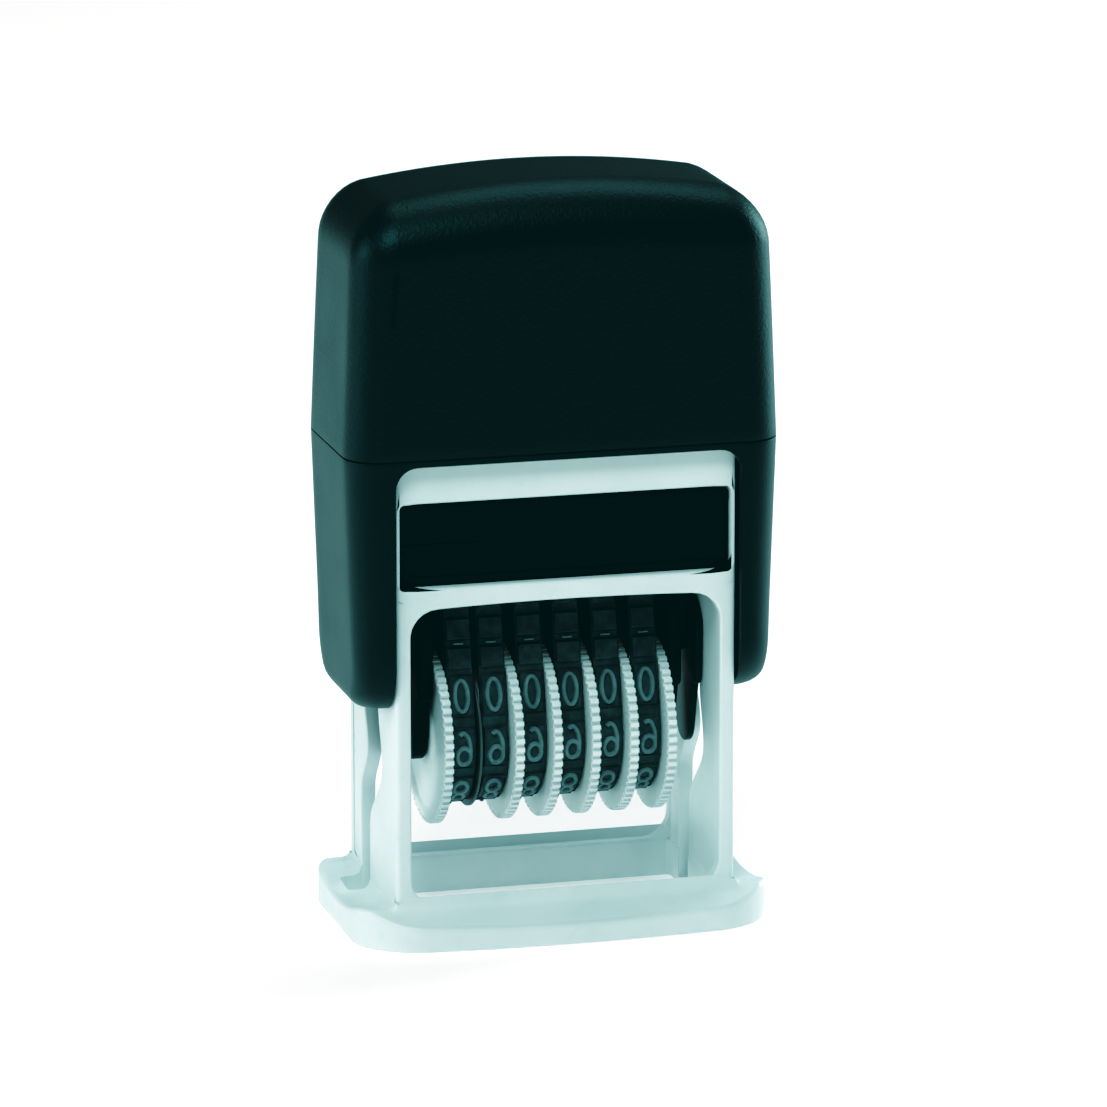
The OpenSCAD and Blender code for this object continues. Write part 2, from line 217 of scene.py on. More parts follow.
class Mould:
    """Gathers closed surfaces in millimetres and casts them as one piece."""

    def __init__(self, name: str) -> None:
        """Starts an empty mould.

        Args:
            name: name of the piece.
        """
        self.name = name
        self.points: list[Array] = []
        self.faces: list[list[int]] = []
        self.count = 0

    def grid(self, points: Array, across: bool = True, along: bool = False, lids: bool = True) -> "Mould":
        """Adds a surface from a grid of points, with its faces turned outwards.

        Neighbouring points make quads. The first direction runs along the rows and the second around each row.
        Ends that are left open are closed by a fan about the end row's middle.

        Args:
            points: array of rows by columns by three.
            across: whether each row closes on itself.
            along: whether the last row joins the first.
            lids: whether open ends get fans.

        Returns:
            The mould, so that calls can be chained.
        """
        rows, cols = points.shape[:2]
        index = np.arange(rows * cols).reshape(rows, cols)
        if across:
            index = np.concatenate([index, index[:, :1]], axis=1)
        if along:
            index = np.concatenate([index, index[:1]], axis=0)
        quads = np.stack([index[:-1, :-1], index[:-1, 1:], index[1:, 1:], index[1:, :-1]], axis=-1).reshape(-1, 4)
        flat = points.reshape(-1, 3)
        fans = np.zeros((0, 3), dtype=int)
        if lids and not along:
            middles = np.stack([points[0].mean(axis=0), points[-1].mean(axis=0)])
            first, last = index[0], index[-1]
            low = np.stack([first[1:], first[:-1], np.full(len(first) - 1, rows * cols)], axis=1)
            high = np.stack([last[:-1], last[1:], np.full(len(last) - 1, rows * cols + 1)], axis=1)
            fans = np.concatenate([low, high])
            flat = np.concatenate([flat, middles])
        corners = np.concatenate([quads[:, [0, 1, 2]], quads[:, [0, 2, 3]], fans])
        a, b, c = (flat[corners[:, i]] for i in range(3))
        if np.sum(a * np.cross(b, c)) < 0:
            quads, fans = quads[:, ::-1], fans[:, ::-1]
        self.points.append(flat)
        self.faces += (quads + self.count).tolist() + (fans + self.count).tolist()
        self.count += len(flat)
        return self

    def turned(self, profile: Array, centre: Array, steps: int = 96, knurl: Array | None = None) -> "Mould":
        """Adds a solid of revolution about an axis along X: each profile point (x, r) is carried round a circle.

        Args:
            profile: closed outline of (x, r) points, or an open one whose ends lie near the axis.
            centre: a point of the axis.
            steps: steps round the circle.
            knurl: optional radii to take off, one per angle, from points at the largest radius.

        Returns:
            The mould.
        """
        turn = np.linspace(0, 2 * np.pi, steps, endpoint=False)
        radius = np.repeat(profile[:, 1:2], steps, axis=1)
        if knurl is not None:
            radius = radius - knurl[None, :] * (profile[:, 1:2] > profile[:, 1].max() - 0.2)
        y = centre[1] + radius * np.cos(turn)
        z = centre[2] + radius * np.sin(turn)
        closed = bool(profile[:, 1].min() > 0.01)
        return self.grid(Along.X.place(y, z, profile[:, :1]), along=closed)

    def plate(self, outline: Array, low: float, high: float, axis: Along, edge: float = 0.2) -> "Mould":
        """Adds a plate: a closed outline carried from low to high, its edges rounded by quarter circles.

        Args:
            outline: points of the outline, which its own middle must see.
            low: start along the axis.
            high: end along the axis.
            axis: direction the outline is carried in.
            edge: radius of the rounded edges.

        Returns:
            The mould.
        """
        normal = outward(outline)
        phi = np.radians(np.linspace(0, 90, 4))
        inset = np.concatenate([edge * (1 - np.sin(phi)), edge * (1 - np.cos(phi))])
        depth = np.concatenate([low + edge * (1 - np.cos(phi)), high - edge * (1 - np.sin(phi))])
        rows = outline[None] - normal[None] * inset[:, None, None]
        return self.grid(axis.place(rows[..., 0], rows[..., 1], depth[:, None]))

    def panel(self, outer: Array, inner: Array, low: float, high: float, axis: Along, outer_edge: float = 0.0,
              inner_edge: float = 0.3, side_only: bool = True, steps: int = 4) -> "Mould":
        """Adds a panel with one opening: a closed band between two loops that run side by side.

        Its section goes up the outer wall, over a quarter circle, across the face, down the opening's wall and
        back along the far face. Points between the loops are straight mixes of the two.

        Args:
            outer: outer loop.
            inner: loop of the opening, point for point beside the outer one.
            low: start along the axis.
            high: end along the axis.
            axis: direction of the panel's thickness.
            outer_edge: radius of the outer edges.
            inner_edge: radius of the opening's edges.
            side_only: whether outer edges are rounded on the left and right sides alone.
            steps: steps across each face.

        Returns:
            The mould.
        """
        out_normal = outward(outer)
        if side_only:
            on_side = np.abs(outer[:, :1]) > np.abs(outer[:, :1]).max() - 1e-6
            out_normal = np.where(on_side, np.sign(outer[:, :1]) * [1.0, 0.0], 0.0)
        in_normal = outward(inner)
        phi = np.radians(np.linspace(0, 90, 4))
        out_inset = outer_edge * (1 - np.cos(phi))
        in_inset = inner_edge * (1 - np.cos(phi))
        out_rise = outer_edge * (1 - np.sin(phi))
        in_rise = inner_edge * (1 - np.sin(phi))
        out_rows = lambda inset: outer[None] - out_normal[None] * inset[:, None, None]
        in_rows = lambda inset: inner[None] + in_normal[None] * inset[:, None, None]
        mix = np.linspace(0, 1, steps + 1)[1:-1, None, None]
        top_out, top_in = out_rows(out_inset[-1:]), in_rows(in_inset[-1:])
        face = top_out * (1 - mix) + top_in * mix
        rows = np.concatenate([out_rows(out_inset[::-1]), out_rows(out_inset), face, in_rows(in_inset[::-1]),
                               in_rows(in_inset), face[::-1]])
        depth = np.concatenate([low + out_rise[::-1], high - out_rise, np.full(steps - 1, high),
                                high - in_rise[::-1], low + in_rise, np.full(steps - 1, low)])
        return self.grid(axis.place(rows[..., 0], rows[..., 1], depth[:, None]), along=True)

    def block(self, low: tuple[float, float, float], high: tuple[float, float, float], edge: float = 0.2) -> "Mould":
        """Adds a box with rounded edges between two corners.

        Args:
            low: lowest corner.
            high: highest corner.
            edge: radius of its edges.

        Returns:
            The mould.
        """
        corners = [(low[0], low[1]), (high[0], low[1]), (high[0], high[1]), (low[0], high[1])]
        return self.plate(rounded_corners(corners, edge * 1.6), low[2], high[2], Along.Z, edge)

    def tube(self, path: Array, radius: float, sides: int = 10) -> "Mould":
        """Adds a round tube along a path: a circle in the plane of the path's normal and binormal at each point.

        Args:
            path: points of the path.
            radius: radius of the tube.
            sides: sides of the circle.

        Returns:
            The mould.
        """
        tangent = np.gradient(path, axis=0)
        tangent /= np.linalg.norm(tangent, axis=1, keepdims=True)
        aside = np.cross(tangent, [0.0, 0.0, 1.0])
        aside /= np.linalg.norm(aside, axis=1, keepdims=True)
        upward = np.cross(aside, tangent)
        turn = np.linspace(0, 2 * np.pi, sides, endpoint=False)[None, :, None]
        ring = aside[:, None] * np.cos(turn) + upward[:, None] * np.sin(turn)
        return self.grid(path[:, None] + radius * ring)

    def cast(self, smooth: float = 32.0) -> bpy.types.Object:
        """Makes the mesh and its object, at the origin, in metres.

        Args:
            smooth: faces that meet at less than this angle, in degrees, are shaded as one surface.

        Returns:
            The new object, linked to the scene.
        """
        mesh = bpy.data.meshes.new(self.name)
        mesh.from_pydata((np.concatenate(self.points) * MM).tolist(), [], self.faces)
        mesh.shade_smooth()
        mesh.set_sharp_from_angle(angle=math.radians(smooth))
        piece = bpy.data.objects.new(self.name, mesh)
        bpy.context.collection.objects.link(piece)
        return piece


# ---------------------------------------------------------------------------------------------------------------
# Finishes
# ---------------------------------------------------------------------------------------------------------------


class Wire:
    """A node's output in a material; arithmetic on it adds Math nodes."""

    def __init__(self, recipe: "Recipe", socket: bpy.types.NodeSocket) -> None:
        """Wraps a socket.

        Args:
            recipe: the material the socket belongs to.
            socket: the output socket.
        """
        self.recipe = recipe
        self.socket = socket

    def _math(self, operation: str, first: "Wire | float", second: "Wire | float") -> "Wire":
        """Adds one Math node on two values."""
        return self.recipe.node("ShaderNodeMath", {"operation": operation}, {0: first, 1: second})

    def __add__(self, other: "Wire | float") -> "Wire":
        """Sum."""
        return self._math("ADD", self, other)

    def __radd__(self, other: float) -> "Wire":
        """Sum with a number first."""
        return self._math("ADD", other, self)

    def __sub__(self, other: "Wire | float") -> "Wire":
        """Difference."""
        return self._math("SUBTRACT", self, other)

    def __rsub__(self, other: float) -> "Wire":
        """Difference from a number."""
        return self._math("SUBTRACT", other, self)

    def __mul__(self, other: "Wire | float") -> "Wire":
        """Product."""
        return self._math("MULTIPLY", self, other)

    def __rmul__(self, other: float) -> "Wire":
        """Product with a number first."""
        return self._math("MULTIPLY", other, self)

    def step(self, low: float, high: float) -> "Wire":
        """Rises smoothly from 0 to 1 between two values.

        Args:
            low: value that gives 0.
            high: value that gives 1.

        Returns:
            The new value.
        """
        settings = {"interpolation_type": "SMOOTHSTEP", "clamp": True}
        return self.recipe.node("ShaderNodeMapRange", settings, {0: self, 1: low, 2: high, 3: 0.0, 4: 1.0})


class Recipe:
    """The node tree of one material."""

    def __init__(self, name: str) -> None:
        """Starts a material with its output alone.

        Args:
            name: name of the material.
        """
        self.material = bpy.data.materials.new(name)
        self.material.use_nodes = True
        self.tree = self.material.node_tree
        self.tree.nodes.clear()
        self.output = self.tree.nodes.new("ShaderNodeOutputMaterial")

    def node(self, kind: str, settings: dict[str, object] | None = None,
             sockets: dict[int | str, object] | None = None, out: int | str = 0) -> Wire:
        """Adds a node, sets it, then fills or links its sockets.

        Args:
            kind: the node's type.
            settings: attributes of the node, set first; "stops" fills a ramp with (position, colour) pairs.
            sockets: input values or wires, by index or name.
            out: the output to hand back.

        Returns:
            The chosen output.
        """
        made = self.tree.nodes.new(kind)
        for key, value in (settings or {}).items():
            if key == "stops":
                ramp = made.color_ramp
                for place, colour in value[1:-1]:
                    ramp.elements.new(place).color = colour
                ramp.elements[0].position, ramp.elements[0].color = value[0]
                ramp.elements[-1].position, ramp.elements[-1].color = value[-1]
            else:
                setattr(made, key, value)
        for key, value in (sockets or {}).items():
            if isinstance(value, Wire):
                self.tree.links.new(value.socket, made.inputs[key])
            else:
                made.inputs[key].default_value = value
        return Wire(self, made.outputs[out])

    def place(self) -> Wire:
        """The point on the piece, in metres."""
        return self.node("ShaderNodeTexCoord", out="Object")

    def height(self) -> Wire:
        """The height of the point on the piece, in millimetres."""
        split = self.node("ShaderNodeSeparateXYZ", sockets={0: self.place()}, out="Z")
        return split * 1000.0

    def noise(self, size_mm: float, detail: float = 3.0, rough: float = 0.55, out: int | str = 0) -> Wire:
        """Noise whose blobs are about size_mm across.

        Args:
            size_mm: size of a blob in millimetres.
            detail: number of finer layers.
            rough: strength of the finer layers.
            out: "Fac" or "Color" output.

        Returns:
            The noise.
        """
        sockets = {"Vector": self.place(), "Scale": 1.0 / (size_mm * MM), "Detail": detail, "Roughness": rough}
        return self.node("ShaderNodeTexNoise", None, sockets, out)

    def mix(self, share: Wire | float, low: object, high: object) -> Wire:
        """Mixes two colours.

        Args:
            share: how much of the second colour.
            low: first colour.
            high: second colour.

        Returns:
            The mixed colour.
        """
        return self.node("ShaderNodeMix", {"data_type": "RGBA"}, {0: share, 6: low, 7: high}, out=2)

    def bump(self, height: Wire, depth_mm: float, under: Wire | None = None) -> Wire:
        """A bump whose full height is depth_mm.

        Args:
            height: height from 0 to 1.
            depth_mm: depth of the relief in millimetres.
            under: another bump to lie on.

        Returns:
            The normal.
        """
        sockets: dict[int | str, object] = {"Height": height, "Strength": 1.0, "Distance": depth_mm * MM}
        if under is not None:
            sockets["Normal"] = under
        return self.node("ShaderNodeBump", None, sockets)

    def finish(self, **sockets: object) -> bpy.types.Material:
        """Adds the surface shader and links it to the output.

        Args:
            **sockets: the shader's inputs, with spaces in their names written as underscores.

        Returns:
            The finished material.
        """
        named = {key.replace("_", " "): value for key, value in sockets.items()}
        shader = self.node("ShaderNodeBsdfPrincipled", None, named)
        self.tree.links.new(shader.socket, self.output.inputs["Surface"])
        return self.material


Colour = tuple[float, float, float, float]


def tone(red: float, green: float, blue: float) -> Colour:
    """A colour given as display values from 0 to 255, turned linear by the display curve.

    Args:
        red: red part.
        green: green part.
        blue: blue part.

    Returns:
        Linear red, green and blue, and an alpha of 1.
    """
    part = np.array([red, green, blue]) / 255.0
    linear = np.where(part <= 0.04045, part / 12.92, ((part + 0.055) / 1.055) ** 2.4)
    return (*linear.tolist(), 1.0)


@dataclass(frozen=True)
class GrainedPlastic:
    """Dark moulded plastic, with a spark-eroded grain above a height and a fine satin below it."""

    name: str = "cap_black"
    slot: str = "cap_black"
    deep: Colour = tone(4, 14, 16)
    pale: Colour = tone(8, 22, 25)
    sheen: Colour = (0.42, 0.86, 0.88, 1.0)
    shine: float = 0.4
    grain_mm: float = 0.42
    grain_depth_mm: float = 0.055
    seam_mm: float = 54.7

    def material(self) -> bpy.types.Material:
        """Builds the material."""
        recipe = Recipe(self.name)
        above = recipe.height().step(self.seam_mm - 0.2, self.seam_mm + 0.2)
        grain = recipe.noise(self.grain_mm, 4.0, 0.6)
        fine = recipe.noise(self.grain_mm * 0.45, 2.0, 0.5)
        cloud = recipe.noise(9.0, 2.0)
        relief = grain * (0.35 + 0.65 * above) + 0.3 * fine
        return recipe.finish(
            Base_Color=recipe.mix(grain * 0.5 + cloud * 0.35, self.deep, self.pale),
            Roughness=0.38 + 0.10 * cloud + 0.05 * grain,
            Specular_Tint=self.sheen,
            Specular_IOR_Level=self.shine,
            Normal=recipe.bump(relief, self.grain_depth_mm),
        )


@dataclass(frozen=True)
class SatinPlastic:
    """Smooth moulded plastic with faint clouding, handling marks and a soft skin texture."""

    name: str
    slot: str
    pale: Colour
    deep: Colour
    roughness: float = 0.34
    sheen: Colour = (1.0, 1.0, 1.0, 1.0)
    skin_mm: float = 0.5
    skin_depth_mm: float = 0.004
    shine: float = 0.4

    def material(self) -> bpy.types.Material:
        """Builds the material."""
        recipe = Recipe(self.name)
        cloud = recipe.noise(14.0, 3.0)
        marks = recipe.noise(2.2, 5.0, 0.65)
        skin = recipe.noise(self.skin_mm, 3.0)
        shade = (cloud.step(0.35, 0.75)) * 0.6 + (marks.step(0.52, 0.8)) * 0.4
        return recipe.finish(
            Base_Color=recipe.mix(shade, self.pale, self.deep),
            Roughness=self.roughness + 0.12 * cloud + 0.06 * marks,
            Specular_Tint=self.sheen,
            Specular_IOR_Level=self.shine,
            Normal=recipe.bump(skin, self.skin_depth_mm),
        )


@dataclass(frozen=True)
class Rubber:
    """Moulded rubber: matt, slightly dusty, with a fine pebbled skin."""

    name: str
    slot: str
    deep: Colour
    dust: Colour
    dusting: float = 0.35
    roughness: float = 0.5

    def material(self) -> bpy.types.Material:
        """Builds the material."""
        recipe = Recipe(self.name)
        patch = recipe.noise(1.3, 4.0, 0.6)
        pebble = recipe.noise(0.14, 2.0)
        return recipe.finish(
            Base_Color=recipe.mix(patch.step(0.3, 0.8) * self.dusting, self.deep, self.dust),
            Roughness=self.roughness + 0.16 * patch,
            Specular_Tint=(0.6, 0.9, 0.92, 1.0),
            Normal=recipe.bump(pebble, 0.012),
        )


@dataclass(frozen=True)
class Felt:
    """Inked felt: short matted fibres, soaked dark."""

    name: str = "pad_felt"
    slot: str = "pad_felt"

    def material(self) -> bpy.types.Material:
        """Builds the material."""
        recipe = Recipe(self.name)
        fibre = recipe.noise(0.25, 6.0, 0.7)
        damp = recipe.noise(4.0, 2.0)
        return recipe.finish(
            Base_Color=recipe.mix(fibre * 0.7 + damp * 0.2, tone(6, 12, 20), tone(30, 44, 58)),
            Roughness=0.62 + 0.3 * fibre,
            Sheen_Weight=0.25,
            Normal=recipe.bump(fibre, 0.16),
        )


@dataclass(frozen=True)
class DrawnSteel:
    """Drawn steel wire or rod, with fine scratches round it and a thin film of oil."""

    name: str
    slot: str
    pale: Colour = tone(186, 194, 196)
    deep: Colour = tone(120, 132, 134)

    def material(self) -> bpy.types.Material:
        """Builds the material."""
        recipe = Recipe(self.name)
        stretched = recipe.node("ShaderNodeMapping", None, {"Vector": recipe.place(), "Scale": (6.0, 1.0, 1.0)})
        scratch = recipe.node("ShaderNodeTexNoise", None, {"Vector": stretched, "Scale": 900.0, "Detail": 4.0})
        oil = recipe.noise(3.0)
        return recipe.finish(
            Base_Color=recipe.mix(scratch * 0.6 + oil * 0.3, self.pale, self.deep),
            Metallic=1.0,
            Roughness=0.22 + 0.2 * scratch,
            Normal=recipe.bump(scratch, 0.006),
        )


Finish = GrainedPlastic | SatinPlastic | Rubber | Felt | DrawnSteel
TEAL_SHEEN: Colour = (0.42, 0.86, 0.88, 1.0)
CAP_BLACK = GrainedPlastic()
FRAME_WHITE = SatinPlastic("frame_white", "frame_white", tone(232, 238, 238), tone(218, 228, 229))
WHEEL_WHITE = SatinPlastic("wheel_white", "wheel_white", tone(238, 242, 242), tone(222, 232, 233), 0.3)
CARTRIDGE_BLACK = SatinPlastic("cartridge_black", "cartridge_black", tone(4, 16, 18), tone(9, 24, 27), 0.26,
                               TEAL_SHEEN, skin_depth_mm=0.003, shine=0.2)
YOKE_BLACK = SatinPlastic("yoke_black", "yoke_black", tone(14, 34, 37), tone(22, 46, 49), 0.38, TEAL_SHEEN,
                          shine=0.25)
UNIT_BLACK = SatinPlastic("unit_black", "unit_black", tone(3, 14, 16), tone(7, 22, 25), 0.42, TEAL_SHEEN, shine=0.2)
BAND_RUBBER = Rubber("band_rubber", "band_rubber", tone(34, 46, 48), tone(80, 96, 98))
TYPE_RUBBER = Rubber("type_rubber", "band_rubber", tone(84, 98, 100), tone(140, 152, 154), 0.5, 0.42)
# The spacer disc is white plastic: its dark grey tones are painted shade, standing in for the shadow it lies in between
# the first two bands.
SPACER_PAINTED_SHADE_GREY = SatinPlastic("spacer_grey", "spacer_grey", tone(74, 84, 86), tone(50, 60, 62), 0.4)
PAD_FELT = Felt()
ROD_STEEL = DrawnSteel("rod_steel", "rod_steel")
SPRING_STEEL = DrawnSteel("spring_steel", "spring_steel", tone(204, 210, 212), tone(140, 150, 152))


class Workshop:
    """Dresses pieces, fixes them to their bodies and reports them."""

    def __init__(self) -> None:
        """Starts with no material built."""
        self.built: dict[str, bpy.types.Material] = {}

    def material(self, finish: Finish) -> bpy.types.Material:
        """Gives a finish's material, building it once.

        Args:
            finish: the finish.

        Returns:
            Its material.
        """
        if finish.name not in self.built:
            self.built[finish.name] = finish.material()
        return self.built[finish.name]

    def fit(self, piece: bpy.types.Object, finish: Finish, body: str, *nodes: str) -> bpy.types.Object:
        """Dresses a piece and fixes it to its body.

        Args:
            piece: the new piece.
            finish: its finish.
            body: the CAD body that it moves with.
            *nodes: CAD nodes that it stands for.

        Returns:
            The piece.
        """
        piece.data.materials.append(self.material(finish))
        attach(piece, body)
        if nodes:
            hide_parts(*nodes)
        LOG.info("%s on %s, %d faces", piece.name, body, len(piece.data.polygons))
        return piece


# ---------------------------------------------------------------------------------------------------------------
# Sub-assemblies
# ---------------------------------------------------------------------------------------------------------------


def loop_angles(half: tuple[float, float], outer: tuple[float, float], steps: int = 160) -> Array:
    """Ray angles for two nested boxes: equal steps, with the outer box's four corners put in exactly.

    Args:
        half: half sizes of the opening, which set how the rays crowd towards its corners.
        outer: half sizes of the outer box.
        steps: number of even rays.

    Returns:
        Sorted angles in radians.
    """
    even = np.linspace(-np.pi, np.pi, steps, endpoint=False)
    corner = math.atan2(half[1], half[0])
    spread = np.radians(np.linspace(-14, 14, 15))
    near = np.concatenate([base + spread for base in (corner, np.pi - corner, -corner, corner - np.pi)])
    exact = math.atan2(outer[1], outer[0])
    return np.unique(np.round(np.concatenate([even, near, [exact, np.pi - exact, -exact, exact - np.pi]]), 9))


@dataclass
class Base:
    """The white frame: a tube with windows and cam slots that stands in a wide foot."""

    half_width: float = 19.2
    half_depth: float = 10.8
    side_wall: float = 1.7
    face_wall: float = 1.6
    foot_corner: float = 7.0
    foot_bulge: float = 162.0
    lip: float = 2.1
    foot_top: float = 4.4
    dish: float = 3.1
    dish_radius: float = 32.0
    fillet: float = 1.1
    window_top: float = 37.6
    window_arch: float = 0.43
    bar_middle: float = 38.9
    pad_low: float = 40.2
    pad_high: float = 49.6
    pad_half: float = 18.7
    slot_low: float = 1.75
    slot_high: float = 5.65
    groove_at: float = 7.5
    foot_half: tuple[float, float] = field(init=False)
    top: float = field(init=False)

    def __post_init__(self) -> None:
        """Reads the overall sizes from the frame."""
        high = span("base_frame")[1]
        self.foot_half = (high[0], high[1])
        self.top = high[2]

    def foot_height(self, x: Array, y: Array) -> Array:
        """Height of the foot's top.

        Level beside the tube, sloping straight down to the lip in front and behind, dished by a cylinder along X
        at the sides, and rising into the tube's walls by a quarter-circle fillet.

        Args:
            x: X of each point.
            y: Y of each point.

        Returns:
            Height of each point.
        """
        run = np.clip((np.abs(y) - self.half_depth) / (self.foot_half[1] - self.half_depth), 0, 1)
        flat = self.foot_top - (self.foot_top - self.lip) * run
        dish = self.dish + self.dish_radius - np.sqrt(np.maximum(self.dish_radius**2 - y**2, 0))
        aside = np.clip((np.abs(x) - self.half_width + 0.6) / 0.6, 0, 1)
        level = flat + (np.minimum(flat, dish) - flat) * aside
        gap = np.hypot(np.maximum(np.abs(x) - self.half_width, 0), np.maximum(np.abs(y) - self.half_depth, 0))
        inside = (np.abs(x) < self.half_width - 1e-6) & (np.abs(y) < self.half_depth - 1e-6)
        rise = self.fillet - np.sqrt(np.maximum(self.fillet**2 - np.maximum(self.fillet - gap, 0) ** 2, 0))
        return level + np.where(inside, 0, rise)

    def foot_outline(self, turn: Array, inset: float) -> Array:
        """Plan of the foot: a box with round corners, its front and back bent inwards to large arcs.

        Args:
            turn: ray angles in radians.
            inset: how far the outline is drawn in.

        Returns:
            Array of points.
        """
        half = (self.foot_half[0] - inset, self.foot_half[1] - inset)
        points = box_reach(turn, half, self.foot_corner - inset)
        bulge = self.foot_bulge - np.sqrt(self.foot_bulge**2 - points[:, 0] ** 2)
        share = points[:, 1] / half[1]
        return np.stack([points[:, 0], points[:, 1] - bulge * share * np.abs(share)], axis=1)

    def foot(self) -> Mould:
        """The foot as a closed band round its opening: loops from the opening out over the top and back below."""
        inner_half = (self.half_width - self.side_wall, self.half_depth - self.face_wall)
        turn = loop_angles(self.foot_half, (self.half_width, self.half_depth), 240)
        opening = box_reach(turn, (inner_half[0] - 0.03, inner_half[1] - 0.03), 0.5)
        wall = box_reach(turn, (self.half_width, self.half_depth), 0.5)
        beyond = box_reach(turn, (self.half_width + self.fillet, self.half_depth + self.fillet), 1.6)
        edge, sole = 0.55, 0.35
        phi = np.radians(np.linspace(0, 90, 5))
        rim = self.foot_outline(turn, edge)
        loops: list[Array] = []
        heights: list[Array] = []

        def add(loop: Array, height: Array | float) -> None:
            """Appends one loop at a height."""
            loops.append(loop)
            heights.append(np.broadcast_to(height, len(loop)))

        add(opening, 0.0)
        add(opening, self.foot_top - 0.3)
        add(opening + outward(opening) * 0.3, self.foot_top)
        for share in np.linspace(0.3, 1, 3):
            loop = opening + (wall - opening) * share
            add(loop, self.foot_top if share < 1 else self.foot_height(wall[:, 0], wall[:, 1]))
        for share in np.linspace(0, 1, 8)[1:]:
            loop = wall + (beyond - wall) * share
            add(loop, self.foot_height(loop[:, 0], loop[:, 1]))
        for share in np.linspace(0, 1, 12)[1:]:
            loop = beyond + (rim - beyond) * share
            add(loop, self.foot_height(loop[:, 0], loop[:, 1]))
        crest = self.foot_height(rim[:, 0], rim[:, 1])
        for angle in phi[1:]:
            add(self.foot_outline(turn, edge * (1 - math.sin(angle))), crest - edge * (1 - math.cos(angle)))
        for angle in phi:
            add(self.foot_outline(turn, sole * (1 - math.cos(angle))), sole * (1 - math.sin(angle)))
        grid = Along.Z.place(np.array(loops)[..., 0], np.array(loops)[..., 1], np.array(heights))
        return Mould("base_foot").grid(grid, along=True)

    def pockets(self) -> bpy.types.Object:
        """Cutters for the pockets at the feet of the cam slots."""
        cutter = Mould("pocket_cutter")
        for side in (-1, 1):
            x = sorted((side * 16.5, side * 21.7))
            low, high = self.slot_low - 0.05, self.slot_high + 0.05
            outline = rounded_corners([(x[0], low), (x[1], low), (x[1], high), (x[0], high)], 0.6)
            cutter.plate(outline, 0.8, 8.0, Along.Z, 0.3)
        return cutter.cast()

    def window_loops(self, half: tuple[float, float], corner: float, outer: tuple[float, float],
                     middle: float, outer_middle: float, arch: float) -> tuple[Array, Array]:
        """Loops of a window and of the wall round it.

        Rays from the window's middle meet the window's round-cornered box and the wall's plain box. The window's
        top edge is then lifted in the middle by a parabola.

        Args:
            half: half sizes of the window.
            corner: radius of its corners.
            outer: half sizes of the wall panel.
            middle: height of the window's middle.
            outer_middle: height of the panel's middle.
            arch: rise of the top edge's middle.

        Returns:
            The outer and inner loops.
        """
        turn = loop_angles(half, outer)
        inner = box_reach(turn, half, corner)
        top = np.clip(inner[:, 1] / half[1], 0, 1) ** 2
        inner[:, 1] += arch * top * (1 - (inner[:, 0] / half[0]) ** 2) + middle
        wall = box_reach(turn, outer, 1e-4)
        wall[:, 1] += outer_middle
        return wall, inner

    def slot_edges(self, height: Array) -> tuple[Array, Array]:
        """Front and back edges of a cam slot: straight channels joined by half cosine waves.

        Args:
            height: heights at which the edges are wanted.

        Returns:
            Y of the front edge and of the back edge.
        """

        def ease(start: float, end: float, share: Array) -> Array:
            """A half cosine wave from start to end."""
            return start + (end - start) * (1 - np.cos(np.pi * np.clip(share, 0, 1))) / 2

        front = np.where(height < 18.6, ease(self.slot_low, -4.0, (height - 10.6) / 8),
                         ease(-4.0, -2.4, (height - 18.6) / 6.9))
        back = np.where(height < 19.5, ease(self.slot_high, 2.5, (height - 13.5) / 6),
                        ease(2.5, 4.4, (height - 19.5) / 6))
        return front, back

    def side_loops(self) -> tuple[Array, Array]:
        """Loops of a side wall and its cam slot, matched edge by edge: front edge, top, back edge, bottom."""
        low, high, foot = -self.half_depth + self.face_wall, self.groove_at - 0.06, 0.6
        rise = np.linspace(foot + 0.15, 32.6, 90)
        front, back = self.slot_edges(rise)
        share = np.linspace(0, 1, 10)[1:-1]
        top = np.stack([front[-1] + (back[-1] - front[-1]) * share, np.full(8, rise[-1] + 0.3)], axis=1)
        floor = np.stack([back[0] + (front[0] - back[0]) * share, np.full(8, foot)], axis=1)
        inner = np.concatenate([np.stack([front, rise], axis=1), top, np.stack([back, rise], axis=1)[::-1], floor])
        wall_rise = np.interp(rise, [rise[0], 26.0, rise[-1]], [0.35, 26.0, self.top])
        wall_top = np.stack([low + (high - low) * share, np.full(8, self.top)], axis=1)
        wall_floor = np.stack([high + (low - high) * share, np.full(8, 0.35)], axis=1)
        front_line = np.stack([np.full(90, low), wall_rise], axis=1)
        back_line = np.stack([np.full(90, high), wall_rise], axis=1)[::-1]
        return np.concatenate([front_line, wall_top, back_line, wall_floor]), inner

